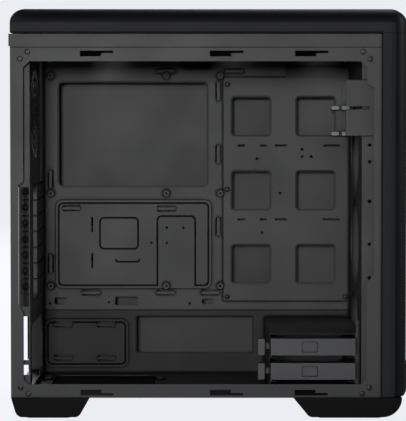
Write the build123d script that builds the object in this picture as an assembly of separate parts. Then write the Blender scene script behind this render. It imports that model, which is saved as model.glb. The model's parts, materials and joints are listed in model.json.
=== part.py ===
"""Empty ATX mid-tower computer case, left side panel off. Millimetres, +X to the front, +Y to the
right side panel, +Z up. The origin is the middle of the footprint, on the surface the feet stand on."""

import math
import os

from build123d import *

os.makedirs("parts", exist_ok=True)

# ---- overall sizes
WIDTH = 230.0            # over the plastic parts
SHELL_LENGTH = 458.0     # steel shell, rear edge to front edge
SHELL_HEIGHT = 450.0     # steel shell, under the floor to over the roof
FOOT_HEIGHT = 26.0       # ground to the underside of the floor
COVER_HEIGHT = 31.0      # top cover over the roof
BEZEL_DEPTH = 41.7       # front bezel, at its middle
THUMB_HEAD_LENGTH = 8.0  # thumbscrew heads behind the shell

# ---- general sizes
SHEET = 1.0              # steel sheet
PLASTIC = 3.0            # moulded wall
SKIN_INSET = 1.0         # steel sides inside the plastic sides
GAP = 0.3                # running gap between moving pieces
SEAM = 0.6               # gap between plastic covers and the steel
CUT = 5.0                # how far a cutter runs past a face
FAN_PITCH = 105.0        # hole square of a 120 mm fan
FAN_OPENING_R = 57.0
FAN_HOLE_R = 2.25

# ---- planes of the shell
FULL_LENGTH = THUMB_HEAD_LENGTH + SHELL_LENGTH + GAP + BEZEL_DEPTH
SHELL_REAR = -FULL_LENGTH / 2 + THUMB_HEAD_LENGTH
SHELL_FRONT = SHELL_REAR + SHELL_LENGTH
FRONT_TIP = SHELL_FRONT + GAP + BEZEL_DEPTH
SIDE = WIDTH / 2
NEAR = -SIDE + SKIN_INSET            # outer face of the open side's flanges
FAR = SIDE - SHEET - GAP             # outer face of the right side's flanges
FLOOR = FOOT_HEIGHT + SHEET          # top face of the floor sheet
ROOF = FOOT_HEIGHT + SHELL_HEIGHT    # top face of the roof sheet
CEILING = ROOF - SHEET               # underside of the roof sheet
PLATE_THICK = 1.0                    # stamped plates and brackets

# ---- side frames
POST_DEPTH = 10.0        # how deep the posts are folded behind the side flanges
REAR_POST = 23.0         # shell edge to the rear panel's inner face
FRONT_POST = 23.6        # shell edge to the front panel's inner face
REAR_FLANGE = 16.0       # width of the rear side flange
FRONT_FLANGE = 18.4      # width of the front side flange
ROOF_FLANGE = 33.8       # height of the roof's side flange
FLOOR_FLANGE = 16.9      # height of the floor's side flange
CORNER_DROP_TOP = 8.0    # 45 degree corners of the side opening
CORNER_DROP_LOW = 5.8
FOLD_LINE = 16.6         # groove below the roof
GROOVE_WIDTH = 1.4
GROOVE_DEPTH = 0.4
REAR_PANEL = SHELL_REAR + REAR_POST  # inner face of the rear panel
FRONT_PANEL = SHELL_FRONT - FRONT_POST

# ---- hook slots of the side panels, from the shell's rear edge
HOOK_SLOTS = (86.2, 246.3, 351.0)
HOOK_LENGTH = 26.0
HOOK_HEIGHT = 7.0
HOOK_TAIL = 15.0
HOOK_TAIL_HEIGHT = 3.0
HOOK_LOW_Z = 3.0         # lower slots above the floor's underside
HOOK_HIGH_Z = 20.8       # upper slots' top edge under the roof's top

# ---- board, board tray and slots (standard board pattern)
TRAY = NEAR + 194.0              # near face of the board tray
BOARD_HOLE_IN = 10.16            # board edge to the first hole
BOARD_COLUMNS = (0.0, 154.94, 227.33)
BOARD_ROWS = (0.0, 157.48, 281.94)
BOARD_TOP_ROW = 48.3             # first hole row under the roof's top face
STANDOFF_HEIGHT = 6.35
STANDOFF_R = 4.0
STANDOFF_HOLE_R = 1.6
SLOT_PITCH = 20.32
SLOT_COUNT = 7
SLOT_LOWEST = 128.6              # lowest slot's middle above the shell's underside
SLOT_OPEN = 13.0
SLOT_TOP_LENGTH = 94.0           # ledge to the slots' far end
LEDGE_DEPTH = 94.0               # near face of the shell to the slot ledge
TAB_REACH = 19.0                 # slot tab behind the rear panel
TAB_SCREW = 14.4                 # slot screw behind the rear panel
COVER_WIDTH = 18.4
PSU_CHAMBER = 87.5               # floor's underside to the board tray's lower edge
LOWER_LAP = 5.0                  # lower panel behind the board tray


def block(x0, x1, y0, y1, z0, z1):
    """A box between two corners."""
    centre = ((x0 + x1) / 2, (y0 + y1) / 2, (z0 + z1) / 2)
    return Pos(*centre) * Box(abs(x1 - x0), abs(y1 - y0), abs(z1 - z0))


def window_y(x0, x1, z0, z1, r, y0, y1):
    """A round-cornered cutter or pad that runs along Y."""
    face = RectangleRounded(x1 - x0, z1 - z0, r)
    return Pos((x0 + x1) / 2, (y0 + y1) / 2, (z0 + z1) / 2) * Rot(90, 0, 0) * extrude(
        face, (y1 - y0) / 2, both=True)


def window_x(y0, y1, z0, z1, r, x0, x1):
    """A round-cornered cutter or pad that runs along X."""
    face = RectangleRounded(z1 - z0, y1 - y0, r)
    return Pos((x0 + x1) / 2, (y0 + y1) / 2, (z0 + z1) / 2) * Rot(0, 90, 0) * extrude(
        face, (x1 - x0) / 2, both=True)


def window_z(x0, x1, y0, y1, r, z0, z1):
    """A round-cornered cutter or pad that runs along Z."""
    face = RectangleRounded(x1 - x0, y1 - y0, r)
    return Pos((x0 + x1) / 2, (y0 + y1) / 2, (z0 + z1) / 2) * extrude(face, (z1 - z0) / 2, both=True)


def rod_y(x, z, r, y0, y1):
    return Pos(x, (y0 + y1) / 2, z) * Rot(90, 0, 0) * Cylinder(r, abs(y1 - y0))


def rod_x(y, z, r, x0, x1):
    return Pos((x0 + x1) / 2, y, z) * Rot(0, 90, 0) * Cylinder(r, abs(x1 - x0))


def rod_z(x, y, r, z0, z1):
    return Pos(x, y, (z0 + z1) / 2) * Cylinder(r, abs(z1 - z0))


def side_plate(points, y0, y1):
    """A plate with an outline in X and Z, from y0 to y1."""
    face = make_face(Plane.XZ * Polyline(*points, close=True))
    return Pos(0, (y0 + y1) / 2, 0) * extrude(face, (y1 - y0) / 2, both=True)


def square_holes(pitch):
    """The four corners of a square pattern about 0, 0."""
    half = pitch / 2
    return [(a, b) for a in (-half, half) for b in (-half, half)]


def mirror_side(y_near):
    """The same depth on the right side's frame."""
    return FAR - (y_near - NEAR)


# ---------------------------------------------------------------- steel shell
def hook_slot_cuts(x, z0, z1, tail_low, y0, y1):
    """One hook slot: a wide mouth and a narrow tail towards the front."""
    mouth = block(x, x + HOOK_LENGTH, y0, y1, z0, z1)
    tail_z0 = z0 if tail_low else z1 - HOOK_TAIL_HEIGHT
    tail = block(x + HOOK_LENGTH, x + HOOK_LENGTH + HOOK_TAIL, y0, y1, tail_z0, tail_z0 + HOOK_TAIL_HEIGHT)
    return [mouth, tail]


def all_hook_cuts(upper):
    cuts = []
    for offset in HOOK_SLOTS:
        x = SHELL_REAR + offset
        for y in (NEAR, FAR):
            y0, y1 = y - CUT / 2, y + CUT / 2
            if upper:
                z1 = ROOF - HOOK_HIGH_Z
                cuts += hook_slot_cuts(x, z1 - HOOK_HEIGHT, z1, False, y0, y1)
            else:
                z0 = FOOT_HEIGHT + HOOK_LOW_Z
                cuts += hook_slot_cuts(x, z0, z0 + HOOK_HEIGHT, True, y0, y1)
    return cuts


def rivet_places(upper):
    """X and Z of the corner rivets of one side frame."""
    if upper:
        z_wide, z_tall = ROOF - 22.2, ROOF - 31.0
    else:
        z_wide, z_tall = FOOT_HEIGHT + 5.2, FOOT_HEIGHT + 12.6
    rear = [(SHELL_REAR + 21.4, z_wide), (SHELL_REAR + 12.3, z_tall)]
    front = [(SHELL_FRONT - 23.2, z_wide), (SHELL_FRONT - 14.4, z_tall)]
    return rear + front


RIVET_R = 1.6
RIVET_HEAD_R = 3.2
RIVET_HEAD = 0.8
RIVET_TAIL = 1.2


def rivet_cuts(upper, y):
    return [rod_y(x, z, RIVET_R + 0.05, y - CUT, y + CUT) for x, z in rivet_places(upper)]


ROOF_CORNER_Z = ROOF - ROOF_FLANGE - CORNER_DROP_TOP     # where the posts' flanges meet the roof's
FLOOR_CORNER_Z = FOOT_HEIGHT + FLOOR_FLANGE + CORNER_DROP_LOW


def roof_flange(y0, y1):
    rear_in = SHELL_REAR + REAR_FLANGE
    front_in = SHELL_FRONT - FRONT_FLANGE
    edge = ROOF - ROOF_FLANGE
    return side_plate([
        (SHELL_REAR, ROOF), (SHELL_FRONT, ROOF), (SHELL_FRONT, ROOF_CORNER_Z), (front_in, ROOF_CORNER_Z),
        (front_in - CORNER_DROP_TOP, edge), (rear_in + CORNER_DROP_TOP, edge), (rear_in, ROOF_CORNER_Z),
        (SHELL_REAR, ROOF_CORNER_Z)], y0, y1)


def floor_flange(y0, y1):
    rear_in = SHELL_REAR + REAR_FLANGE
    front_in = SHELL_FRONT - FRONT_FLANGE
    edge = FOOT_HEIGHT + FLOOR_FLANGE
    return side_plate([
        (SHELL_REAR, FOOT_HEIGHT), (SHELL_FRONT, FOOT_HEIGHT), (SHELL_FRONT, FLOOR_CORNER_Z),
        (front_in, FLOOR_CORNER_Z), (front_in - CORNER_DROP_LOW, edge), (rear_in + CORNER_DROP_LOW, edge),
        (rear_in, FLOOR_CORNER_Z), (SHELL_REAR, FLOOR_CORNER_Z)], y0, y1)


ROOF_LIP = 1.8           # roof's rear edge stands this far behind the shell
ROOF_LIP_HEIGHT = 15.0
ROOF_FANS = (96.0, 226.0)        # fan centres from the shell's rear edge
ROOF_FAN_Y = -22.0


def roof_panel():
    body = block(SHELL_REAR, SHELL_FRONT, NEAR, FAR, CEILING, ROOF)
    body += roof_flange(NEAR, NEAR + SHEET)
    body += roof_flange(FAR - SHEET, FAR)
    body += block(SHELL_REAR - ROOF_LIP, SHELL_REAR, NEAR, FAR, ROOF - ROOF_LIP_HEIGHT, ROOF)
    groove_z = ROOF - FOLD_LINE
    cuts = [block(SHELL_REAR - CUT, SHELL_FRONT + CUT, NEAR - CUT, NEAR + GROOVE_DEPTH,
                  groove_z - GROOVE_WIDTH / 2, groove_z + GROOVE_WIDTH / 2)]
    for offset in ROOF_FANS:
        x = SHELL_REAR + offset
        cuts.append(rod_z(x, ROOF_FAN_Y, FAN_OPENING_R, CEILING - CUT, ROOF + CUT))
        for a, b in square_holes(FAN_PITCH):
            cuts.append(rod_z(x + a, ROOF_FAN_Y + b, FAN_HOLE_R, CEILING - CUT, ROOF + CUT))
    cuts += all_hook_cuts(True) + rivet_cuts(True, NEAR) + rivet_cuts(True, FAR)
    return body - cuts


PSU_VENT_REAR = 41.0     # floor vent from the shell's rear edge
PSU_VENT_LENGTH = 134.0
PSU_VENT_HALF = 62.0
FILTER_MARGIN = 7.0      # filter frame around the vent
FILTER_THICK = 4.0
RAIL_WALL = 1.0
RAIL_LIP = 4.0
FILTER_X0 = SHELL_REAR + PSU_VENT_REAR - FILTER_MARGIN
FILTER_X1 = SHELL_REAR + PSU_VENT_REAR + PSU_VENT_LENGTH + FILTER_MARGIN
FILTER_HALF = PSU_VENT_HALF + FILTER_MARGIN


def filter_rail(side):
    """An L rail under the floor that the dust filter slides in."""
    wall_in = side * (FILTER_HALF + GAP)
    wall_out = side * (FILTER_HALF + GAP + RAIL_WALL)
    lip_in = side * (FILTER_HALF - RAIL_LIP)
    z_low = FOOT_HEIGHT - FILTER_THICK - 2 * GAP - RAIL_WALL
    y0, y1 = min(wall_in, wall_out), max(wall_in, wall_out)
    wall = block(FILTER_X0, FILTER_X1, y0, y1, z_low, FOOT_HEIGHT)
    lip = block(FILTER_X0, FILTER_X1, min(lip_in, wall_out), max(lip_in, wall_out), z_low, z_low + RAIL_WALL)
    return wall + lip


def floor_panel():
    body = block(SHELL_REAR, SHELL_FRONT, NEAR, FAR, FOOT_HEIGHT, FLOOR)
    body += floor_flange(NEAR, NEAR + SHEET)
    body += floor_flange(FAR - SHEET, FAR)
    body += filter_rail(-1) + filter_rail(1)
    vent_x = SHELL_REAR + PSU_VENT_REAR
    cuts = [window_z(vent_x, vent_x + PSU_VENT_LENGTH, -PSU_VENT_HALF, PSU_VENT_HALF, 10,
                     FOOT_HEIGHT - 1.5, FLOOR + CUT)]
    cuts += all_hook_cuts(False) + rivet_cuts(False, NEAR) + rivet_cuts(False, FAR)
    return body - cuts


def corner_rivets():
    """Sixteen flat rivets that hold the posts to the roof and the floor."""
    rivets = []
    for upper in (True, False):
        for x, z in rivet_places(upper):
            for y, out in ((NEAR, -1), (FAR, 1)):
                head = rod_y(x, z, RIVET_HEAD_R, min(y, y + out * RIVET_HEAD), max(y, y + out * RIVET_HEAD))
                if out > 0:
                    head = rod_y(x, z, RIVET_R, y - SHEET, y)
                inner = y - out * (2 * SHEET + RIVET_TAIL)
                shank = rod_y(x, z, RIVET_R, min(y, inner), max(y, inner))
                tail_y = y - out * 2 * SHEET
                tail = rod_y(x, z, RIVET_R * 1.5, min(tail_y, inner), max(tail_y, inner))
                rivets.append(head + shank + tail)
    return Compound(children=rivets)


# ---- rear panel
IO_LOW = 262.0           # input/output opening above the shell's underside
IO_HEIGHT = 158.75
IO_DEPTH = 44.45
IO_FROM_TRAY = 5.6
FAN_UP = 352.0           # rear fan's middle above the shell's underside
FAN_FROM_TRAY = 112.0
GRILLE_RINGS = (10.0, 22.0, 34.0, 46.0)
GRILLE_WIRE = 3.0
ACCESS_CUT = 40.0        # opening above the slot ledge, for the screwdriver
FLANGE_NOTCH = 6.2       # the rear flange is cut back beside the slots
NOTCH_LOW = 116.3
NOTCH_HIGH = 262.8
NOTCH_SLOPE_LOW = 12.4
NOTCH_SLOPE_HIGH = 4.9
SLOT_WINDOW_LOW = 112.0
PSU_WINDOW_LOW = 27.0
PSU_WINDOW_HIGH = 100.0
PSU_BRIDGE_Z = 42.5
PSU_BRIDGE = 6.0
PSU_WIDTH = 150.0
PSU_HEIGHT = 86.0
PSU_FROM_TRAY = 19.0     # unit's right side to the board tray
PSU_RIM = 4.0
PSU_HOLES = ((6.0, 80.0), (144.0, 80.0), (6.0, 16.0), (120.0, 6.0))
PSU_PAD_HEIGHT = 3.0
PSU_HOLE_R = 1.9
RIM_TAB = 14.0
SLOT_LEDGE = NEAR + LEDGE_DEPTH
LUG_REACH = 30.0
LUG_HIDE = 0.5           # lugs stay behind the flanges' edges
LUG_ROOT = 12.0
SLOT_LEDGE_DROP = 12.0   # slot ledge below the post's window
LUG_HEIGHT = 38.0


def slot_middles():
    base = FOOT_HEIGHT + SLOT_LOWEST
    return [base + i * SLOT_PITCH for i in range(SLOT_COUNT)]


def slot_zone():
    mids = slot_middles()
    return mids[0] - SLOT_PITCH / 2, mids[-1] + SLOT_PITCH / 2


def rear_flange(y0, y1, notched):
    edge = SHELL_REAR + REAR_FLANGE
    notch = edge - FLANGE_NOTCH
    low = FOOT_HEIGHT + NOTCH_LOW
    high = FOOT_HEIGHT + NOTCH_HIGH
    points = [(SHELL_REAR, FLOOR_CORNER_Z), (edge, FLOOR_CORNER_Z)]
    if notched:
        points += [(edge, low - NOTCH_SLOPE_LOW), (notch, low)]
        points += [(notch, high), (edge, high + NOTCH_SLOPE_HIGH)]
    points += [(edge, ROOF_CORNER_Z), (SHELL_REAR, ROOF_CORNER_Z)]
    return side_plate(points, y0, y1)


def post_lugs(x0, x1, root_x0, root_x1, y0, y1):
    """Inner tongues of a post, hidden behind the roof's and the floor's flanges, and their roots."""
    high_z = ROOF - ROOF_FLANGE + LUG_HIDE
    low_z = FLOOR + FLOOR_FLANGE - SHEET - LUG_HIDE
    high = block(x0, x1, y0, y1, high_z, ROOF_CORNER_Z - LUG_ROOT + LUG_HEIGHT)
    low = block(x0, x1, y0, y1, FLOOR, low_z)
    high_root = block(root_x0, root_x1, y0, y1, ROOF_CORNER_Z - LUG_ROOT, high_z)
    low_root = block(root_x0, root_x1, y0, y1, low_z, FLOOR_CORNER_Z + LUG_ROOT)
    return [high, low, high_root, low_root]


def rear_post(near_side):
    """The folded post at one side of the rear panel."""
    outer = NEAR if near_side else FAR
    turn = 1 if near_side else -1
    skin_in = outer + turn * SHEET
    lug_in = outer + turn * 2 * SHEET
    web_out = outer + turn * POST_DEPTH
    web_in = outer + turn * (POST_DEPTH + SHEET)
    pieces = [rear_flange(min(outer, skin_in), max(outer, skin_in), near_side)]
    wall = block(SHELL_REAR, SHELL_REAR + SHEET, min(skin_in, web_in), max(skin_in, web_in), FLOOR, CEILING)
    web = block(SHELL_REAR, REAR_PANEL, min(web_out, web_in), max(web_out, web_in), FLOOR, CEILING)
    pieces += [wall, web]
    edge = SHELL_REAR + REAR_FLANGE - LUG_HIDE
    pieces += post_lugs(SHELL_REAR, SHELL_REAR + LUG_REACH, SHELL_REAR, edge,
                        min(skin_in, lug_in), max(skin_in, lug_in))
    return pieces


def fan_grille_cuts(y, z, x0, x1):
    """Ring-shaped cuts that leave a stamped grille of rings and four spokes."""
    cuts = []
    spokes = [block(x0 - 1, x1 + 1, y - FAN_OPENING_R - 1, y + FAN_OPENING_R + 1,
                    z - GRILLE_WIRE / 2, z + GRILLE_WIRE / 2),
              block(x0 - 1, x1 + 1, y - GRILLE_WIRE / 2, y + GRILLE_WIRE / 2,
                    z - FAN_OPENING_R - 1, z + FAN_OPENING_R + 1)]
    edges = list(GRILLE_RINGS) + [FAN_OPENING_R + GRILLE_WIRE]
    for inner, outer in zip(edges[:-1], edges[1:]):
        ring = rod_x(y, z, outer - GRILLE_WIRE, x0, x1) - rod_x(y, z, inner, x0 - 1, x1 + 1)
        cuts.append(ring - spokes)
    return cuts


def rear_panel():
    out_face = REAR_PANEL - SHEET
    body = block(out_face, REAR_PANEL, NEAR + POST_DEPTH, mirror_side(NEAR + POST_DEPTH), FLOOR, CEILING)
    for piece in rear_post(True) + rear_post(False):
        body += piece
    zone_low, zone_high = slot_zone()
    body += block(SHELL_REAR, out_face, SLOT_LEDGE, SLOT_LEDGE + SHEET,
                  FOOT_HEIGHT + SLOT_WINDOW_LOW - SLOT_LEDGE_DROP, zone_high)
    x0, x1 = out_face - CUT, REAR_PANEL + CUT
    io_y1 = TRAY - IO_FROM_TRAY
    io_z0 = FOOT_HEIGHT + IO_LOW
    cuts = [window_x(io_y1 - IO_DEPTH, io_y1, io_z0, io_z0 + IO_HEIGHT, 1, x0, x1)]
    fan_y, fan_z = TRAY - FAN_FROM_TRAY, FOOT_HEIGHT + FAN_UP
    cuts += fan_grille_cuts(fan_y, fan_z, x0, x1)
    for a, b in square_holes(FAN_PITCH):
        cuts.append(rod_x(fan_y + a, fan_z + b, FAN_HOLE_R, x0, x1))
    for z in slot_middles():
        cuts.append(window_x(SLOT_LEDGE + 4, SLOT_LEDGE + SLOT_TOP_LENGTH, z - SLOT_OPEN / 2,
                             z + SLOT_OPEN / 2, 2, x0 - 0.1, x1))
        cuts.append(rod_y(REAR_PANEL - TAB_SCREW, z, SLOT_SCREW_R + 0.1, SLOT_LEDGE - CUT, SLOT_LEDGE + CUT))
    cuts.append(block(out_face - 0.01, x1, SLOT_LEDGE - ACCESS_CUT, SLOT_LEDGE, zone_low - 1, zone_high + 1))
    web_y0, web_y1 = NEAR + POST_DEPTH - 1, NEAR + POST_DEPTH + SHEET + 0.01
    cuts.append(block(SHELL_REAR + SHEET + 1, out_face, web_y0, web_y1,
                      FOOT_HEIGHT + SLOT_WINDOW_LOW, zone_high))
    low, high = FOOT_HEIGHT + PSU_WINDOW_LOW, FOOT_HEIGHT + PSU_WINDOW_HIGH
    bridge = FOOT_HEIGHT + PSU_BRIDGE_Z
    cuts.append(block(SHELL_REAR + SHEET + 1, out_face, web_y0, web_y1, low, bridge - PSU_BRIDGE / 2))
    cuts.append(block(SHELL_REAR + SHEET + 1, out_face, web_y0, web_y1, bridge + PSU_BRIDGE / 2, high))
    cuts += psu_cuts(x0, x1)
    cuts += rivet_cuts(True, NEAR) + rivet_cuts(True, FAR) + rivet_cuts(False, NEAR) + rivet_cuts(False, FAR)
    for y, z in thumb_places(FAR - POST_DEPTH / 2) + thumb_places(NEAR + POST_DEPTH / 2):
        cuts.append(rod_x(y, z, THUMB_R + GAP, SHELL_REAR - CUT, SHELL_REAR + CUT))
    return body - cuts


def psu_corner():
    """Y and Z of the power unit's lower near corner."""
    return TRAY - PSU_FROM_TRAY - PSU_WIDTH, FLOOR + PSU_PAD_HEIGHT


def psu_cuts(x0, x1):
    """The power unit's opening and its four screw holes, on tabs in the corners."""
    y, z = psu_corner()
    opening = window_x(y + PSU_RIM, y + PSU_WIDTH - PSU_RIM, z + PSU_RIM, z + PSU_HEIGHT - PSU_RIM, 3, x0, x1)
    holes = []
    for a, b in PSU_HOLES:
        opening -= rod_x(y + a, z + b, RIM_TAB / 2, x0 - 1, x1 + 1)
        holes.append(rod_x(y + a, z + b, PSU_HOLE_R, x0, x1))
    return [solid for solid in opening.solids()] + holes


# ---- front panel
FRONT_FANS = (64.0, 184.0, 304.0)    # fan middles above the shell's underside
FRONT_NOTCH = 8.7
FRONT_NOTCH_LOW = 153.2
FRONT_NOTCH_HIGH = 383.5
FRONT_SLOPE_LOW = 12.3
FRONT_SLOPE_HIGH = 4.9
FRONT_HOLES = (148.0, 190.0, 243.0, 292.0, 313.0)
FRONT_HOLE_R = 2.2
LUG_CLEAR = 1.0          # front lugs beside the sliding caddies


def front_flange(y0, y1, notched):
    edge = SHELL_FRONT - FRONT_FLANGE
    notch = edge + FRONT_NOTCH
    low = FOOT_HEIGHT + FRONT_NOTCH_LOW
    high = FOOT_HEIGHT + FRONT_NOTCH_HIGH
    points = [(SHELL_FRONT, FLOOR_CORNER_Z), (edge, FLOOR_CORNER_Z)]
    if notched:
        points += [(edge, low - FRONT_SLOPE_LOW), (notch, low)]
        points += [(notch, high), (edge, high + FRONT_SLOPE_HIGH)]
    points += [(edge, ROOF_CORNER_Z), (SHELL_FRONT, ROOF_CORNER_Z)]
    return side_plate(points, y0, y1)


def front_post(near_side):
    """The folded post at one side of the front panel."""
    outer = NEAR if near_side else FAR
    turn = 1 if near_side else -1
    skin_in = outer + turn * SHEET
    lug_in = outer + turn * 2 * SHEET
    web_out = outer + turn * POST_DEPTH
    web_in = outer + turn * (POST_DEPTH + SHEET)
    pieces = [front_flange(min(outer, skin_in), max(outer, skin_in), near_side)]
    wall = block(SHELL_FRONT - SHEET, SHELL_FRONT, min(skin_in, web_in), max(skin_in, web_in), FLOOR, CEILING)
    web = block(FRONT_PANEL, SHELL_FRONT, min(web_out, web_in), max(web_out, web_in), FLOOR, CEILING)
    pieces += [wall, web]
    edge = SHELL_FRONT - FRONT_FLANGE + LUG_HIDE
    pieces += post_lugs(CADDY_X1 + LUG_CLEAR, SHELL_FRONT, edge, SHELL_FRONT,
                        min(skin_in, lug_in), max(skin_in, lug_in))
    return pieces


def front_panel():
    body = block(FRONT_PANEL, FRONT_PANEL + SHEET, NEAR + POST_DEPTH, mirror_side(NEAR + POST_DEPTH),
                 FLOOR, CEILING)
    for piece in front_post(True) + front_post(False):
        body += piece
    x0, x1 = FRONT_PANEL - CUT, FRONT_PANEL + SHEET + CUT
    cuts = []
    for up in FRONT_FANS:
        z = FOOT_HEIGHT + up
        cuts.append(rod_x(0, z, FAN_OPENING_R, x0, x1))
        for a, b in square_holes(FAN_PITCH):
            cuts.append(rod_x(a, z + b, FAN_HOLE_R, x0, x1))
    web_y = NEAR + POST_DEPTH
    for up in FRONT_HOLES:
        cuts.append(rod_y(SHELL_FRONT - FRONT_FLANGE + FRONT_NOTCH / 2, FOOT_HEIGHT + up, FRONT_HOLE_R,
                          web_y - 1, web_y + SHEET + 1))
    cuts += rivet_cuts(True, NEAR) + rivet_cuts(True, FAR) + rivet_cuts(False, NEAR) + rivet_cuts(False, FAR)
    return body - cuts


# ---------------------------------------------------------------- board tray
PRESS = 1.6              # height of pressed panels
BEAD_WIDTH = 2.6         # pressed grooves
BEAD_FLOOR = 0.4         # sheet left under a groove
LOOP_LENGTH = 24.0       # cable tie loops
LOOP_WIDTH = 8.0
LOOP_BAR = 3.5
LOOP_RISE = 3.0


def tie_loop(x, z, upright, face):
    """A cable tie loop: a slot in the sheet and the raised bar over it. Returns cutter and bar."""
    dx = LOOP_WIDTH if upright else LOOP_LENGTH
    dz = LOOP_LENGTH if upright else LOOP_WIDTH
    slot = block(x - dx / 2, x + dx / 2, face - CUT, face + CUT, z - dz / 2, z + dz / 2)
    bx = LOOP_BAR if upright else LOOP_LENGTH
    bz = LOOP_LENGTH if upright else LOOP_BAR
    bar = block(x - bx / 2, x + bx / 2, face - LOOP_RISE, face - LOOP_RISE + SHEET, z - bz / 2, z + bz / 2)
    legs = []
    for end in (-1, 1):
        if upright:
            z_end = z + end * dz / 2
            legs.append(block(x - bx / 2, x + bx / 2, face - LOOP_RISE, face + SHEET,
                              min(z_end, z_end - end * SHEET), max(z_end, z_end - end * SHEET)))
        else:
            x_end = x + end * dx / 2
            legs.append(block(min(x_end, x_end - end * SHEET), max(x_end, x_end - end * SHEET),
                              face - LOOP_RISE, face + SHEET, z - bz / 2, z + bz / 2))
    return slot, bar + legs


# board tray features, X from the rear panel's inner face, Z down from the roof's top face
CPU_WINDOW = (18.2, 222.4, 55.0, 198.7)
TOP_SLOT = (187.5, 225.1, 29.5, 41.6)
LOW_SLOTS = ((14.2, 31.7, 346.4, 355.8), (96.0, 127.0, 345.1, 357.2), (213.0, 229.1, 347.8, 355.8))
FLAT_LOOPS = ((164.5, 42.3), (256.0, 42.3), (37.5, 226.0), (165.6, 226.6), (63.7, 339.8), (164.1, 339.8),
              (224.0, 339.8))
UPRIGHT_LOOPS = ((235.0, 69.0), (235.0, 153.6), (235.0, 250.9), (9.6, 187.2), (9.6, 300.7))
SMALL_HOLES = ((165.7, 252.4), (188.0, 252.4), (165.7, 272.6), (145.0, 272.6), (8.5, 354.5), (87.7, 353.2),
               (196.5, 354.5))
SMALL_HOLE_R = 1.7
TRAY_NOTCH_X = 86.0      # notch at the tray's upper front corner, from the front panel
TRAY_NOTCH_DROP = 53.6
PRESSED_FIELD = (19.2, 222.8, 217.9, 331.2)
PRESSED_NICHE = (154.3, 202.6, 238.0, 345.0)
PRESSED_RIM = 2.6        # raised field around its groove
RAISED_RECT = (74.6, 128.4, 237.6, 282.0)
RAISED_HOOK = (96.0, 129.8, 290.0, 299.4)
UPRIGHT_SLITS = ((65.3, 248.0), (65.3, 296.4))
SLIT_LENGTH = 20.0
SLIT_WIDTH = 2.4


def tray_box(values):
    """X and Z limits of a feature measured from the rear panel and down from the roof."""
    x0, x1, down0, down1 = values
    return REAR_PANEL + x0, REAR_PANEL + x1, ROOF - down1, ROOF - down0


def grown(box, margin):
    """X and Z limits grown by a margin on each side."""
    return box[0] - margin, box[1] + margin, box[2] - margin, box[3] + margin


def bead(box, r, y0, y1):
    """A cutter for a closed groove along a round-cornered outline."""
    ring = window_y(*box, r, y0, y1)
    return ring - window_y(*grown(box, -BEAD_WIDTH), r - BEAD_WIDTH, y0 - 1, y1 + 1)


def board_holes():
    x0 = REAR_PANEL + BOARD_HOLE_IN
    z0 = ROOF - BOARD_TOP_ROW
    return [(x0 + a, z0 - b) for a in BOARD_COLUMNS for b in BOARD_ROWS]


TRAY_LOW = FOOT_HEIGHT + PSU_CHAMBER


def motherboard_tray():
    notch_x = FRONT_PANEL - TRAY_NOTCH_X
    body = side_plate([(REAR_PANEL, TRAY_LOW), (FRONT_PANEL, TRAY_LOW), (FRONT_PANEL, ROOF - TRAY_NOTCH_DROP),
                       (notch_x, ROOF - TRAY_NOTCH_DROP), (notch_x, CEILING), (REAR_PANEL, CEILING)],
                      TRAY, TRAY + SHEET)
    field, niche = tray_box(PRESSED_FIELD), tray_box(PRESSED_NICHE)
    body += window_y(*grown(field, PRESSED_RIM), 9, TRAY - PRESS, TRAY)
    front, back = TRAY - PRESS - 1, TRAY + SHEET - BEAD_FLOOR
    inner = window_y(*grown(field, -BEAD_WIDTH), 5, front - 1, back + 1)
    inner -= window_y(*grown(niche, BEAD_WIDTH), 7, front - 2, back + 2)
    outline = window_y(*field, 7, front, back) - window_y(*niche, 5, front - 1, back + 1)
    hook = bead(tray_box(RAISED_HOOK), 4, front, back)
    x0, x1, z0, z1 = tray_box(RAISED_HOOK)
    hook -= block(x0 - 1, x1 + 1, front - 1, back + 1, (z0 + z1) / 2, z1 + 1)
    body -= [outline - inner, bead(tray_box(RAISED_RECT), 7, front, back), hook]
    groove = window_y(*grown(plate_edges(), BEAD_WIDTH), 4, TRAY - 1, back)
    body -= groove - window_y(*grown(plate_edges(), -BEAD_WIDTH), 3, TRAY - 2, back + 1)
    for x, z in board_holes():
        body += rod_y(x, z, STANDOFF_R, TRAY - STANDOFF_HEIGHT, TRAY)
    y0, y1 = TRAY - CUT * 2, TRAY + CUT
    cuts = [window_y(*tray_box(CPU_WINDOW), 8, y0, y1), window_y(*tray_box(TOP_SLOT), 5, y0, y1)]
    cuts += [window_y(*tray_box(values), 3, y0, y1) for values in LOW_SLOTS]
    cuts.append(plate_opening())
    cuts += [rod_y(x, z, STANDOFF_HOLE_R, y0, y1) for x, z in board_holes()]
    cuts += [rod_y(REAR_PANEL + a, ROOF - b, SMALL_HOLE_R, y0, y1) for a, b in SMALL_HOLES]
    cuts += [rod_y(x, z, PLATE_SCREW_R + 0.1, y0, y1) for x, z in plate_screw_places()]
    for a, b in UPRIGHT_SLITS:
        x, z = REAR_PANEL + a, ROOF - b
        cuts.append(block(x - SLIT_WIDTH / 2, x + SLIT_WIDTH / 2, y0, y1, z - SLIT_LENGTH / 2,
                          z + SLIT_LENGTH / 2))
    bars = []
    for places, upright in ((FLAT_LOOPS, False), (UPRIGHT_LOOPS, True)):
        for a, b in places:
            slot, bar = tie_loop(REAR_PANEL + a, ROOF - b, upright, TRAY)
            cuts.append(slot)
            bars.append(bar)
    body -= cuts
    for bar in bars:
        body += bar
    return body


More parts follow.
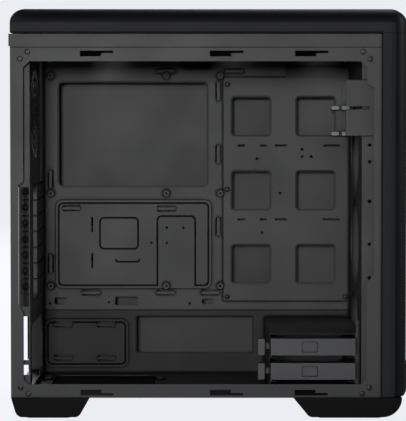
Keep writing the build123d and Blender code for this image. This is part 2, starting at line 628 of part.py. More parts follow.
# ---- cable plate with six windows, from the front panel and the roof
PLATE_WIDTH = 169.2
PLATE_TOP_DROP = 51.0
PLATE_HEIGHT = 299.4
WINDOW_SIZE = 55.0
WINDOW_COLUMNS = (28.2, 115.0)       # windows' rear edges from the plate's rear edge plus its rim
WINDOW_RIM = 9.4
WINDOW_ROWS = (24.1, 123.5, 223.0)   # windows' top edges under the plate's top edge
WINDOW_R = 6.0
PLATE_SCREW_R = 1.5
PLATE_SCREW_HEAD_R = 3.2
PLATE_SCREW_HEAD = 1.6
PLATE_SCREW_IN = 5.0
PLATE_SLOTS = ((19.0, 89.4, 10.0), (49.0, 89.4, 9.0), (69.0, 89.4, 16.0), (134.0, 89.4, 22.0),
               (19.0, 188.8, 10.0), (49.0, 188.8, 9.0), (69.0, 188.8, 16.0), (134.0, 188.8, 22.0))
PLATE_SLOT_HEIGHT = 3.0
PLATE_HOLES = ((45.0, 108.6), (105.6, 96.0), (105.6, 106.0), (118.0, 106.0), (76.0, 154.8), (52.0, 208.0))
PLATE_HOLE_R = 2.0


def plate_edges():
    x1 = FRONT_PANEL - GAP
    z1 = ROOF - PLATE_TOP_DROP
    return x1 - PLATE_WIDTH, x1, z1 - PLATE_HEIGHT, z1


def plate_windows():
    x0, _, _, z1 = plate_edges()
    windows = []
    for column in (WINDOW_RIM, WINDOW_RIM + WINDOW_COLUMNS[1] - WINDOW_COLUMNS[0]):
        for row in WINDOW_ROWS:
            windows.append((x0 + column, x0 + column + WINDOW_SIZE, z1 - row - WINDOW_SIZE, z1 - row))
    return windows


def plate_opening():
    """The opening in the board tray behind the plate's windows."""
    windows = plate_windows()
    margin = 3.0
    return window_y(min(w[0] for w in windows) - margin, max(w[1] for w in windows) + margin,
                    min(w[2] for w in windows) - margin, max(w[3] for w in windows) + margin,
                    WINDOW_R, TRAY - CUT, TRAY + CUT)


def plate_screw_places():
    x0, x1, z0, z1 = plate_edges()
    inset = PLATE_SCREW_IN
    middle = (z0 + z1) / 2
    low = z0 + inset
    return [(x0 + inset, z1 - inset - 4), (x1 - inset, z1 - inset - 4), (x0 + inset, low), (x1 - inset, low),
            (x0 + inset, middle)]


def cable_plate():
    x0, x1, z0, z1 = plate_edges()
    y0, y1 = TRAY - PLATE_THICK, TRAY
    body = window_y(x0, x1, z0, z1, 3, y0, y1)
    cuts = [window_y(*values, WINDOW_R, y0 - CUT, y1 + CUT) for values in plate_windows()]
    for a, b, length in PLATE_SLOTS:
        cuts.append(block(x0 + a, x0 + a + length, y0 - CUT, y1 + CUT, z1 - b - PLATE_SLOT_HEIGHT, z1 - b))
    cuts += [rod_y(x0 + a, z1 - b, PLATE_HOLE_R, y0 - CUT, y1 + CUT) for a, b in PLATE_HOLES]
    cuts += [rod_y(x, z, PLATE_SCREW_R + 0.3, y0 - CUT, y1 + CUT) for x, z in plate_screw_places()]
    return body - cuts


def plate_screws():
    screws = []
    for x, z in plate_screw_places():
        face = TRAY - PLATE_THICK
        head = rod_y(x, z, PLATE_SCREW_HEAD_R, face - PLATE_SCREW_HEAD, face)
        screws.append(head + rod_y(x, z, PLATE_SCREW_R, face, TRAY + SHEET + 1))
    return Compound(children=screws)


# ---- lower panel, beside the power unit
LOWER_OPENING = (123.0, 283.0)       # from the rear panel's inner face
LOWER_OPENING_Z = (27.0, 79.4)       # above the shell's underside
LOWER_PRESSED = (4.0, 111.0, 12.3, 71.4)
LOWER_LOOPS = ((26.0, 67.0), (84.0, 67.0), (26.0, 22.0), (84.0, 22.0))


def lower_tray_panel():
    y0, y1 = TRAY + SHEET, TRAY + 2 * SHEET
    body = block(REAR_PANEL, FRONT_PANEL, y0, y1, FLOOR, TRAY_LOW + LOWER_LAP)
    px0, px1, pz0, pz1 = LOWER_PRESSED
    pressed = (REAR_PANEL + px0, REAR_PANEL + px1, FOOT_HEIGHT + pz0, FOOT_HEIGHT + pz1)
    body += window_y(*grown(pressed, PRESSED_RIM), 9, y0 - PRESS, y0)
    body -= bead(pressed, 7, y0 - PRESS - 1, y1 - BEAD_FLOOR)
    cuts = [window_y(REAR_PANEL + LOWER_OPENING[0], REAR_PANEL + LOWER_OPENING[1],
                     FOOT_HEIGHT + LOWER_OPENING_Z[0], FOOT_HEIGHT + LOWER_OPENING_Z[1], 4,
                     y0 - CUT, y1 + CUT)]
    bars = []
    for a, b in LOWER_LOOPS:
        slot, bar = tie_loop(REAR_PANEL + a, FOOT_HEIGHT + b, False, y0)
        cuts.append(slot)
        bars.append(bar)
    for x, z in board_holes():
        if z < TRAY_LOW + LOWER_LAP + STANDOFF_R:
            cuts.append(rod_y(x, z, STANDOFF_R, y0 - CUT, y1 + CUT))
    body -= cuts
    for bar in bars:
        body += bar
    return body


# ---------------------------------------------------------------- slot covers
SLOT_SCREW_R = 1.5
SLOT_SCREW_HEAD_R = 3.6
SLOT_SCREW_HEAD = 2.4


def slot_cover(z):
    """A blanking strip inside the rear panel with its screw tab folded out over the ledge."""
    half = COVER_WIDTH / 2
    top = SLOT_LEDGE - SHEET
    strip = block(REAR_PANEL, REAR_PANEL + SHEET, top, SLOT_LEDGE + SLOT_TOP_LENGTH + 3, z - half, z + half)
    tab = block(REAR_PANEL - TAB_REACH, REAR_PANEL + SHEET, top, SLOT_LEDGE, z - half, z + half)
    hole = rod_y(REAR_PANEL - TAB_SCREW, z, SLOT_SCREW_R + 0.4, top - CUT, SLOT_LEDGE + CUT)
    return strip + tab - hole


def slot_screws():
    screws = []
    face = SLOT_LEDGE - SHEET
    for z in slot_middles():
        x = REAR_PANEL - TAB_SCREW
        head = rod_y(x, z, SLOT_SCREW_HEAD_R, face - SLOT_SCREW_HEAD, face)
        screws.append(head + rod_y(x, z, SLOT_SCREW_R, face, SLOT_LEDGE + SHEET + 2))
    return Compound(children=screws)


# ---------------------------------------------------------------- right side panel
PANEL_END = 0.5          # panel's front edge behind the bezel
PANEL_HEM = 13.0         # fold over the rear edge
HEM_GAP = 0.5
HOOK_LUG_LENGTH = 10.0
HOOK_LUG_THICK = 1.6
HOOK_LUG_REACH = 3.0
THUMB_R = 1.75
THUMB_HEAD_R = 6.0
THUMB_DROP = 60.0        # upper thumbscrew under the roof
THUMB_UP = 112.0         # lower thumbscrew over the floor


def thumb_places(y):
    """Y and Z of the two thumbscrews of a side panel."""
    return [(y, ROOF - THUMB_DROP), (y, FOOT_HEIGHT + THUMB_UP)]


HEM_X0 = SHELL_REAR - HEM_GAP - SHEET


def right_side_panel():
    y0, y1 = SIDE - SHEET, SIDE
    z0, z1 = FOOT_HEIGHT + 1.0, ROOF - 1.0
    body = block(HEM_X0, SHELL_FRONT - PANEL_END, y0, y1, z0, z1)
    hem_z0, hem_z1 = FOOT_HEIGHT + HOOK_HEIGHT + CUT * 2, ROOF - ROOF_LIP_HEIGHT - SEAM
    body += block(HEM_X0, HEM_X0 + SHEET, SIDE - PANEL_HEM, y1, hem_z0, hem_z1)
    for offset in HOOK_SLOTS:
        x1 = SHELL_REAR + offset + HOOK_LENGTH + HOOK_TAIL - 1.0
        high = ROOF - HOOK_HIGH_Z - HOOK_TAIL_HEIGHT / 2
        low = FOOT_HEIGHT + HOOK_LOW_Z + HOOK_TAIL_HEIGHT / 2
        for z in (high, low):
            body += block(x1 - HOOK_LUG_LENGTH, x1, FAR - SHEET - HOOK_LUG_REACH, y0,
                          z - HOOK_LUG_THICK / 2, z + HOOK_LUG_THICK / 2)
    places = thumb_places(FAR - POST_DEPTH / 2)
    return body - [rod_x(y, z, THUMB_R + GAP, HEM_X0 - CUT, HEM_X0 + CUT) for y, z in places]


def side_thumbscrews():
    screws = []
    for y, z in thumb_places(FAR - POST_DEPTH / 2):
        x_head = HEM_X0 - (THUMB_HEAD_LENGTH - HEM_GAP - SHEET)
        head = rod_x(y, z, THUMB_HEAD_R, x_head, HEM_X0)
        screws.append(head + rod_x(y, z, THUMB_R, HEM_X0, SHELL_REAR + SHEET + 4))
    return Compound(children=screws)


# ---------------------------------------------------------------- drive cage
DRIVE_WIDTH = 101.6
DRIVE_LENGTH = 147.0
DRIVE_HEIGHT = 26.1
DRIVE_CLEAR = 0.4        # over the drives
RAIL_THICK = 1.6
DRIVE_PLAY = 0.4
CADDY_WIDTH = DRIVE_WIDTH + DRIVE_PLAY + 2 * RAIL_THICK
CAGE_FRONT_GAP = 7.4     # caddy's front side to the front panel
CADDY_PITCH = 30.4
CADDY_LOW = 21.1         # lower caddy above the shell's underside
BAR_HEIGHT = 20.8
BAR_THICK = 11.0
BAR_FACE = 9.0           # caddy fronts behind the open side
CADDY_SINK = 3.3         # base under the front bar's lower edge
CADDY_BASE = 1.5
CADDY_BASE_START = 15.0
CADDY_LENGTH = BAR_THICK + DRIVE_LENGTH + 17.0
RAIL_HEIGHT = 14.0
SHELF = 9.0
CAGE_TOP = CADDY_LOW + CADDY_PITCH - CADDY_SINK + CADDY_BASE + DRIVE_HEIGHT + DRIVE_CLEAR + SHEET
LATCH_WIDTH = 8.7
LATCH_SLOT = 7.4
LATCH_ARM = 2.0
LATCH_ARM_HALF = 4.0
LATCH_REACH = 6.0
LATCH_TRAVEL = 4.0
CAGE_POST_TOP = 94.0

CADDY_X1 = FRONT_PANEL - CAGE_FRONT_GAP
CADDY_X0 = CADDY_X1 - CADDY_WIDTH
CADDY_Y0 = NEAR + BAR_FACE


def caddy_level(index):
    return FOOT_HEIGHT + CADDY_LOW + index * CADDY_PITCH


def drive_cage():
    """A sheet box open to the side and at the bottom, with a shelf under each caddy's edges."""
    x0, x1 = CADDY_X0 - GAP - SHEET, CADDY_X1 + GAP + SHEET
    y0, y1 = CADDY_Y0 + BAR_THICK + GAP, TRAY - SHEET
    top = FOOT_HEIGHT + CAGE_TOP
    body = block(x0, FRONT_PANEL, y0, y1, top - SHEET, top)
    body += block(x0, x0 + SHEET, y0, y1, FLOOR, top)
    body += block(x1 - SHEET, x1, y0, y1, FLOOR, top)
    body += block(x0, x1, y1, y1 + SHEET, FLOOR, top)
    post_y = CADDY_Y0 + BAR_THICK + GAP
    body += block(x1, FRONT_PANEL, post_y, post_y + SHEET, FLOOR, FOOT_HEIGHT + CAGE_POST_TOP)
    for index in (0, 1):
        z = caddy_level(index) - CADDY_SINK - GAP
        body += block(x0 + SHEET, x0 + SHEET + SHELF, y0, y1, z - SHEET, z)
        body += block(x1 - SHEET - SHELF, x1 - SHEET, y0, y1, z - SHEET, z)
    return body


def drive_tray(index):
    """A caddy for one drive: front bar, base and two rails."""
    z = caddy_level(index)
    back = CADDY_Y0 + CADDY_LENGTH
    y_bar = CADDY_Y0 + BAR_THICK
    body = block(CADDY_X0, CADDY_X1, CADDY_Y0, y_bar, z, z + BAR_HEIGHT)
    low = z - CADDY_SINK
    body += block(CADDY_X0, CADDY_X1, y_bar + CADDY_BASE_START, back, low, low + CADDY_BASE)
    body += block(CADDY_X0, CADDY_X0 + RAIL_THICK, y_bar, back, low, z + RAIL_HEIGHT)
    body += block(CADDY_X1 - RAIL_THICK, CADDY_X1, y_bar, back, low, z + RAIL_HEIGHT)
    middle = (CADDY_X0 + CADDY_X1) / 2 - 4.0
    mid_z = z + BAR_HEIGHT / 2
    recess = window_y(middle - 10, middle + 10, mid_z - 7, mid_z + 7, 2, CADDY_Y0 - 1, CADDY_Y0 + 0.8)
    arm_y0 = CADDY_Y0 + BAR_THICK - LATCH_ARM - 2 * GAP
    pocket_end = CADDY_X0 + LATCH_REACH + LATCH_TRAVEL + 1.0
    pocket = block(CADDY_X0 - 1, pocket_end, arm_y0 - GAP, CADDY_Y0 + BAR_THICK - GAP,
                   mid_z - LATCH_ARM_HALF - GAP, mid_z + LATCH_ARM_HALF + GAP)
    vents = []
    for i in range(3):
        y = y_bar + 40 + i * 45
        vents.append(window_z(middle - 30, middle + 30, y, y + 20, 3, low - 1, low + CADDY_BASE + 1))
    return body - ([recess, pocket] + vents)


def tray_latch(index):
    """The squeeze latch at the end of a caddy's front."""
    z = caddy_level(index)
    mid_z = z + BAR_HEIGHT / 2
    x1 = CADDY_X0 - LATCH_SLOT
    block_end = window_y(x1 - LATCH_WIDTH, x1, z, z + BAR_HEIGHT, 1.5, CADDY_Y0, CADDY_Y0 + BAR_THICK)
    arm_y0 = CADDY_Y0 + BAR_THICK - LATCH_ARM - 2 * GAP
    arm = block(x1 - 1, CADDY_X0 + LATCH_REACH, arm_y0, arm_y0 + LATCH_ARM,
                mid_z - LATCH_ARM_HALF, mid_z + LATCH_ARM_HALF)
    return block_end + arm


# ---------------------------------------------------------------- bay brackets
BAY_TOP = 56.7           # upper pad's top edge under the roof's top
BAY_HEIGHT = 69.0
BAY_REACH = 20.2         # behind the front panel's inner face
BAY_LAP = 15.0           # over the post's web
BAY_GROOVE = 3.6
BAY_FAR_WIDTH = 26.0
BAY_FAR_STRIP = 11.0
BAY_FAR_Y = NEAR + 184.0
CLIP_LENGTH = 10.0
CLIP_HEIGHT = 5.0
CLIP_THICK = 2.0


def bay_bracket_near():
    z1 = ROOF - BAY_TOP
    y1 = NEAR + POST_DEPTH
    x0, x1 = FRONT_PANEL - BAY_REACH, FRONT_PANEL + BAY_LAP
    body = window_y(x0, x1, z1 - BAY_HEIGHT, z1, 1.5, y1 - PLATE_THICK, y1)
    line_z = z1 - BAY_HEIGHT / 2
    half = BAY_GROOVE / 2
    groove = block(x0 - 1, x1 - 6, y1 - PLATE_THICK - 1, y1 + 1, line_z - half, line_z + half)
    return body - groove


def bay_bracket_far():
    z1 = ROOF - BAY_TOP
    x0 = FRONT_PANEL - BAY_FAR_WIDTH
    plate = block(FRONT_PANEL - BAY_FAR_STRIP, FRONT_PANEL, BAY_FAR_Y, BAY_FAR_Y + PLATE_THICK,
                  z1 - BAY_HEIGHT - 4, z1)
    for row in (BAY_HEIGHT / 2, BAY_HEIGHT):
        half = CLIP_HEIGHT / 2 + 1
        plate += block(x0, FRONT_PANEL, BAY_FAR_Y, BAY_FAR_Y + PLATE_THICK, z1 - row - half, z1 - row + half)
    flange = block(FRONT_PANEL - PLATE_THICK, FRONT_PANEL, BAY_FAR_Y - 12, BAY_FAR_Y + PLATE_THICK,
                   z1 - BAY_HEIGHT - 4, z1)
    return plate + flange


def bay_clips():
    """Four bright spring clips on the far bracket."""
    clips = []
    z1 = ROOF - BAY_TOP
    for row in (BAY_HEIGHT / 2, BAY_HEIGHT):
        for x in (FRONT_PANEL - BAY_FAR_WIDTH + 0.5, FRONT_PANEL - BAY_FAR_WIDTH + 14.5):
            z = z1 - row
            clips.append(window_y(x, x + CLIP_LENGTH, z - CLIP_HEIGHT / 2, z + CLIP_HEIGHT / 2, 1.5,
                                  BAY_FAR_Y - CLIP_THICK, BAY_FAR_Y))
    return Compound(children=clips)


# ---------------------------------------------------------------- plastic front and top
CORNER_SIDE = 20.0       # radius of the front corners in plan
FRONT_SAG = 11.5         # crown of the front between its corners
COVER_SHOULDER = 18.0    # rounding along the top cover's sides and front
COVER_REAR_SLOPE = (21.0, 17.4)
COVER_SEAM = 1.3         # visible groove under the cover
BEZEL_FOOT = 1.0         # bezel over the feet


def front_outline(inset, x_back):
    """Plan outline of the rounded front, inset inwards: straight sides, round corners, a crowned front."""
    side = SIDE - inset
    tip = FRONT_TIP - inset
    centre_x = FRONT_TIP - FRONT_SAG - CORNER_SIDE
    centre_y = SIDE - CORNER_SIDE
    radius = CORNER_SIDE - inset
    lean = radius * math.sqrt(0.5)
    with BuildSketch() as sketch:
        with BuildLine():
            Line((x_back, -side), (centre_x, -side))
            ThreePointArc((centre_x, -side), (centre_x + lean, -centre_y - lean),
                          (centre_x + radius, -centre_y))
            ThreePointArc((centre_x + radius, -centre_y), (tip, 0), (centre_x + radius, centre_y))
            ThreePointArc((centre_x + radius, centre_y), (centre_x + lean, centre_y + lean), (centre_x, side))
            Line((centre_x, side), (x_back, side))
            Line((x_back, side), (x_back, -side))
        make_face()
    return sketch.sketch


def front_prism(inset, x_back, z0, z1):
    return Pos(0, 0, z0) * extrude(front_outline(inset, x_back), z1 - z0)


MESH_HALF = 84.0
MESH_LOW = 34.0          # above the shell's underside
MESH_HIGH = 414.0
MESH_THICK = 1.6
MESH_SET = 1.0           # mesh behind the bezel's face
BEZEL_X0 = SHELL_FRONT + GAP
BEZEL_Z0 = FOOT_HEIGHT + BEZEL_FOOT
BEZEL_Z1 = ROOF + COVER_SEAM - GAP


def front_bezel():
    body = front_prism(0, BEZEL_X0, BEZEL_Z0, BEZEL_Z1)
    body -= front_prism(PLASTIC, BEZEL_X0 - 1, BEZEL_Z0 + PLASTIC, BEZEL_Z1 - PLASTIC)
    z0, z1 = FOOT_HEIGHT + MESH_LOW, FOOT_HEIGHT + MESH_HIGH
    body -= window_x(-MESH_HALF, MESH_HALF, z0, z1, 8, BEZEL_X0 + PLASTIC, FRONT_TIP + CUT)
    rim = front_prism(MESH_SET + MESH_THICK + GAP, BEZEL_X0, z0 - 6, z1 + 6)
    rim -= front_prism(MESH_SET + MESH_THICK + GAP + PLASTIC, BEZEL_X0 - 1, z0 - 7, z1 + 7)
    frame = window_x(-MESH_HALF - 6, MESH_HALF + 6, z0 - 6, z1 + 6, 8, BEZEL_X0 + PLASTIC, FRONT_TIP + CUT)
    hole = window_x(-MESH_HALF + 5, MESH_HALF - 5, z0 + 5, z1 - 5, 6, BEZEL_X0, FRONT_TIP + CUT)
    return body + (rim & (frame - hole))


def front_mesh():
    z0, z1 = FOOT_HEIGHT + MESH_LOW + GAP, FOOT_HEIGHT + MESH_HIGH - GAP
    skin = front_prism(MESH_SET, BEZEL_X0, z0, z1)
    skin -= front_prism(MESH_SET + MESH_THICK, BEZEL_X0 - 1, z0 - 1, z1 + 1)
    frame = window_x(-MESH_HALF + GAP, MESH_HALF - GAP, z0, z1, 8 - GAP, BEZEL_X0 + PLASTIC, FRONT_TIP + CUT)
    return skin & frame


COVER_POST_R = 4.5       # posts that carry the cover on the roof
COVER_POST_IN = 20.0
COVER_Z0 = ROOF + COVER_SEAM
COVER_Z1 = ROOF + COVER_HEIGHT
FILTER_TOP_X0 = 41.0     # top filter from the shell's rear edge
FILTER_TOP_LENGTH = 300.0
FILTER_TOP_HALF = 70.0
FILTER_FRAME = 6.0
FILTER_FRAME_THICK = 3.0
FILTER_LEDGE = 4.0
FILTER_MESH_THICK = 0.8


def cover_blank(inset):
    """The top cover's outer shape with rounded shoulders, or the same shape inset for its inside."""
    x0 = SHELL_REAR + inset
    z1 = COVER_Z1 - inset
    z0 = COVER_Z0 - (CUT if inset else 0)
    prism = front_prism(inset, x0, z0, z1)
    rim = prism.edges().group_by(Axis.Z)[-1].sort_by(Axis.X)[1:]
    prism = fillet(rim, COVER_SHOULDER - inset)
    slope_x, slope_z = COVER_REAR_SLOPE
    return prism - side_plate([(x0 - 1, z1 - slope_z), (x0, z1 - slope_z), (x0 + slope_x, z1),
                               (x0 + slope_x, z1 + 1),
                               (x0 - 1, z1 + 1)], -SIDE - 1, SIDE + 1)


def top_filter_limits():
    x0 = SHELL_REAR + FILTER_TOP_X0
    return x0, x0 + FILTER_TOP_LENGTH, -FILTER_TOP_HALF, FILTER_TOP_HALF


# ---- front controls, in the cover's top
IO_PLATE_LENGTH = 34.0
IO_PLATE_HALF = 62.0
IO_PLATE_BACK = 92.0     # plate's middle behind the front tip
IO_PLATE_THICK = 2.5
IO_X = FRONT_TIP - IO_PLATE_BACK
POWER_R = 11.0
RESET_R = 4.0
POWER_Y = 0.0
RESET_Y = 20.0
USB_PLACES = (-48.0, -26.0)
USB_OPENING = (14.5, 7.0)
JACK_PLACES = (36.0, 50.0)
JACK_R = 3.2
JACK_BORE_R = 1.8
BUTTON_TRAVEL = 2.0
BUTTON_STEM_R = 2.5
IO_BOARD_DROP = 18.0     # board's top face under the cover's top face
IO_BOARD_THICK = 1.6
IO_BOARD_MARGIN = 3.0
SWITCH_HEIGHT = 5.0
LIGHT_R = 1.5
LIGHT_Y = -16.0


def io_limits(margin):
    return (IO_X - IO_PLATE_LENGTH / 2 - margin, IO_X + IO_PLATE_LENGTH / 2 + margin,
            -IO_PLATE_HALF - margin, IO_PLATE_HALF + margin)


def top_cover():
    blank = cover_blank(0)
    body = blank - cover_blank(PLASTIC)
    fx0, fx1, fy0, fy1 = top_filter_limits()
    ledge_z = COVER_Z1 - FILTER_FRAME_THICK - GAP
    body += window_z(fx0 - PLASTIC, fx1 + PLASTIC, fy0 - PLASTIC, fy1 + PLASTIC, 6,
                     ledge_z - PLASTIC, COVER_Z1 - 1)
    body += window_z(*io_limits(PLASTIC), 6, COVER_Z1 - IO_PLATE_THICK - PLASTIC, COVER_Z1 - 1)
    cuts = [window_z(fx0, fx1, fy0, fy1, 5, ledge_z, COVER_Z1 + CUT),
            window_z(fx0 + FILTER_LEDGE, fx1 - FILTER_LEDGE, fy0 + FILTER_LEDGE, fy1 - FILTER_LEDGE, 4,
                     ledge_z - CUT * 2, COVER_Z1 + CUT),
            window_z(*io_limits(0), 5, COVER_Z1 - IO_PLATE_THICK, COVER_Z1 + CUT),
            window_z(*io_limits(-FILTER_LEDGE), 4, COVER_Z1 - CUT * 3, COVER_Z1 + CUT)]
    body -= cuts
    for x in (SHELL_REAR + COVER_POST_IN, SHELL_FRONT - COVER_POST_IN):
        for y in (COVER_POST_IN - SIDE, SIDE - COVER_POST_IN):
            body += rod_z(x, y, COVER_POST_R, ROOF, COVER_Z0 + 1)
            body += rod_z(x, y, COVER_POST_R, COVER_Z0, COVER_Z1) & blank
    return body


def top_filter_frame():
    x0, x1, y0, y1 = top_filter_limits()
    z0 = COVER_Z1 - FILTER_FRAME_THICK - GAP
    frame = window_z(x0 + GAP, x1 - GAP, y0 + GAP, y1 - GAP, 5 - GAP, z0, COVER_Z1 - GAP)
    inner = FILTER_FRAME + GAP
    holes = [window_z(x0 + inner, (x0 + x1) / 2 - 2, y0 + inner, y1 - inner, 3, z0 - 1, COVER_Z1 + 1),
             window_z((x0 + x1) / 2 + 2, x1 - inner, y0 + inner, y1 - inner, 3, z0 - 1, COVER_Z1 + 1)]
    return frame - holes


def top_filter_mesh():
    """Two mesh panels in the top filter's frame."""
    x0, x1, y0, y1 = top_filter_limits()
    inner = FILTER_FRAME + GAP
    z0 = COVER_Z1 - FILTER_FRAME_THICK / 2 - GAP - FILTER_MESH_THICK / 2
    z1 = z0 + FILTER_MESH_THICK
    panels = [window_z(x0 + inner, (x0 + x1) / 2 - 2, y0 + inner, y1 - inner, 3, z0, z1),
              window_z((x0 + x1) / 2 + 2, x1 - inner, y0 + inner, y1 - inner, 3, z0, z1)]
    return Compound(children=panels)


def io_panel():
    """The control plate: button holes, socket openings and the posts that carry the circuit board."""
    x0, x1, y0, y1 = io_limits(-GAP / 2)
    z1 = COVER_Z1
    z0 = z1 - IO_PLATE_THICK
    body = window_z(x0, x1, y0, y1, 5 - GAP, z0, z1)
    board_top = COVER_Z1 - IO_BOARD_DROP
    for side in (-1, 1):
        for end in (-1, 1):
            x = IO_X + end * (IO_PLATE_LENGTH / 2 - 7.5)
            y = side * (IO_PLATE_HALF - 7.5)
            body += rod_z(x, y, 2.5, board_top, z0)
    cuts = [rod_z(IO_X, POWER_Y, POWER_R, z0 - 1, z1 + 1), rod_z(IO_X, RESET_Y, RESET_R, z0 - 1, z1 + 1),
            rod_z(IO_X, LIGHT_Y, LIGHT_R, z0 - 1, z1 + 1)]
    for y in USB_PLACES:
        cuts.append(window_z(IO_X - USB_OPENING[1] / 2, IO_X + USB_OPENING[1] / 2, y - USB_OPENING[0] / 2,
                             y + USB_OPENING[0] / 2, 0.8, z0 - 1, z1 + 1))
    cuts += [rod_z(IO_X, y, JACK_R, z0 - 1, z1 + 1) for y in JACK_PLACES]
    return body - cuts


def io_board():
    """The circuit board with two push switches."""
    x0, x1, y0, y1 = io_limits(-IO_BOARD_MARGIN)
    z1 = COVER_Z1 - IO_BOARD_DROP
    body = block(x0, x1, y0, y1, z1 - IO_BOARD_THICK, z1)
    body += block(IO_X - 3, IO_X + 3, POWER_Y - 3, POWER_Y + 3, z1, z1 + SWITCH_HEIGHT)
    body += block(IO_X - 3, IO_X + 3, RESET_Y - 3, RESET_Y + 3, z1, z1 + SWITCH_HEIGHT)
    return body


def push_button(y, r):
    """A button cap with its stem, one travel above its switch."""
    z1 = COVER_Z1 - GAP
    stem_z0 = COVER_Z1 - IO_BOARD_DROP + SWITCH_HEIGHT + BUTTON_TRAVEL + GAP
    cap = rod_z(IO_X, y, r - GAP, COVER_Z1 - IO_PLATE_THICK - 1.5, z1)
    flange = rod_z(IO_X, y, r + 1.2, COVER_Z1 - IO_PLATE_THICK - 1.5, COVER_Z1 - IO_PLATE_THICK - GAP)
    return cap + flange + rod_z(IO_X, y, min(BUTTON_STEM_R, r / 2), stem_z0, COVER_Z1 - IO_PLATE_THICK - 1)


def usb_ports():
    """Two metal sockets with their plastic tongues, standing on the board."""
    ports = []
    z0, z1 = COVER_Z1 - IO_BOARD_DROP, COVER_Z1 - 0.4
    wy, wx = USB_OPENING[0] - 2 * GAP, USB_OPENING[1] - 2 * GAP
    for y in USB_PLACES:
        shell = block(IO_X - wx / 2, IO_X + wx / 2, y - wy / 2, y + wy / 2, z0, z1)
        shell -= block(IO_X - wx / 2 + 0.5, IO_X + wx / 2 - 0.5, y - wy / 2 + 0.5, y + wy / 2 - 0.5,
                       z0 + 4, z1 + 1)
        shell += block(IO_X + 0.2, IO_X + 2.0, y - wy / 2 + 1.5, y + wy / 2 - 1.5, z0 + 3, z1 - 1.5)
        ports.append(shell)
    return Compound(children=ports)


def audio_jacks():
    """Two round jacks with a bore each."""
    jacks = []
    z0, z1 = COVER_Z1 - IO_BOARD_DROP, COVER_Z1 - 0.2
    for y in JACK_PLACES:
        jack = rod_z(IO_X, y, JACK_R - GAP, z0, z1) - rod_z(IO_X, y, JACK_BORE_R, z0 + 3, z1 + 1)
        jacks.append(jack)
    return Compound(children=jacks)


def power_light():
    """The light guide between the plate and the board."""
    return rod_z(IO_X, LIGHT_Y, LIGHT_R - 0.1, COVER_Z1 - IO_BOARD_DROP, COVER_Z1 - 0.1)


# ---------------------------------------------------------------- feet and floor filter
REAR_FOOT = (0.0, 97.3, 7.3, 83.7)       # top and bottom, from the shell's rear edge
FRONT_FOOT = (26.0, 108.3, 12.4, 88.6)   # top and bottom, ahead of and behind the shell's front edge
FOOT_DEPTH = 38.0
PAD_HEIGHT = 2.0
PAD_WIDTH = 24.0
PAD_SET = 1.0
FOOT_ROUND = 9.0


def foot_outline(front):
    """Top rear, top front, bottom front and bottom rear X of a foot."""
    if front:
        ahead, behind, low_ahead, low_behind = FRONT_FOOT
        return SHELL_FRONT - behind, SHELL_FRONT + ahead, SHELL_FRONT + low_ahead, SHELL_FRONT - low_behind
    top0, top1, low0, low1 = REAR_FOOT
    return SHELL_REAR + top0, SHELL_REAR + top1, SHELL_REAR + low1, SHELL_REAR + low0


def foot(front, side):
    top0, top1, low1, low0 = foot_outline(front)
    y0, y1 = (side * (SIDE - FOOT_DEPTH), side * SIDE)
    outline = [(top0, FOOT_HEIGHT), (top1, FOOT_HEIGHT), (low1, PAD_HEIGHT), (low0, PAD_HEIGHT)]
    body = side_plate(outline, min(y0, y1), max(y0, y1))
    low_edges = body.edges().filter_by(Axis.Y).group_by(Axis.Z)[0]
    body = fillet(low_edges, FOOT_ROUND)
    px0, px1, py0, py1 = pad_limits(front, side)
    seat = 0.1
    return body - window_z(px0 - seat, px1 + seat, py0 - seat, py1 + seat, 4,
                           PAD_HEIGHT - 1, PAD_HEIGHT + PAD_SET)


def pad_limits(front, side):
    _, _, low1, low0 = foot_outline(front)
    middle = side * (SIDE - FOOT_DEPTH / 2)
    return low0 + FOOT_ROUND + 2, low1 - FOOT_ROUND - 2, middle - PAD_WIDTH / 2, middle + PAD_WIDTH / 2


def foot_pads():
    """Four rubber pads under the feet."""
    pads = []
    for front in (False, True):
        for side in (-1, 1):
            pads.append(window_z(*pad_limits(front, side), 4, 0, PAD_HEIGHT + PAD_SET))
    return Compound(children=pads)


def psu_filter_frame():
    """The sliding frame of the floor's dust filter, with a pull at the rear."""
    z1 = FOOT_HEIGHT - GAP
    z0 = z1 - FILTER_THICK
    frame = window_z(FILTER_X0, FILTER_X1, -FILTER_HALF, FILTER_HALF, 3, z0, z1)
    frame -= window_z(FILTER_X0 + 6, FILTER_X1 - 6, -FILTER_HALF + 6, FILTER_HALF - 6, 3, z0 - 1, z1 + 1)
    pull = block(SHELL_REAR + 4, FILTER_X0 + 3, -20, 20, z0, z0 + 2)
    return frame + pull + block(SHELL_REAR + 4, SHELL_REAR + 6, -20, 20, z0 - 4, z0 + 2)


def psu_filter_mesh():
    z0 = FOOT_HEIGHT - GAP - FILTER_THICK / 2 - FILTER_MESH_THICK / 2
    return window_z(FILTER_X0 + 6, FILTER_X1 - 6, -FILTER_HALF + 6, FILTER_HALF - 6, 3,
                    z0, z0 + FILTER_MESH_THICK)


def psu_pads():
    """Four rubber pads that the power unit rests on."""
    pads = []
    y, z = psu_corner()
    for x in (REAR_PANEL + 6, SHELL_REAR + PSU_VENT_REAR + PSU_VENT_LENGTH + 2):
        for pad_y in (y + 20, y + PSU_WIDTH - 40):
            pads.append(window_z(x, x + 9, pad_y, pad_y + 24, 2, FLOOR, z))
    return Compound(children=pads)


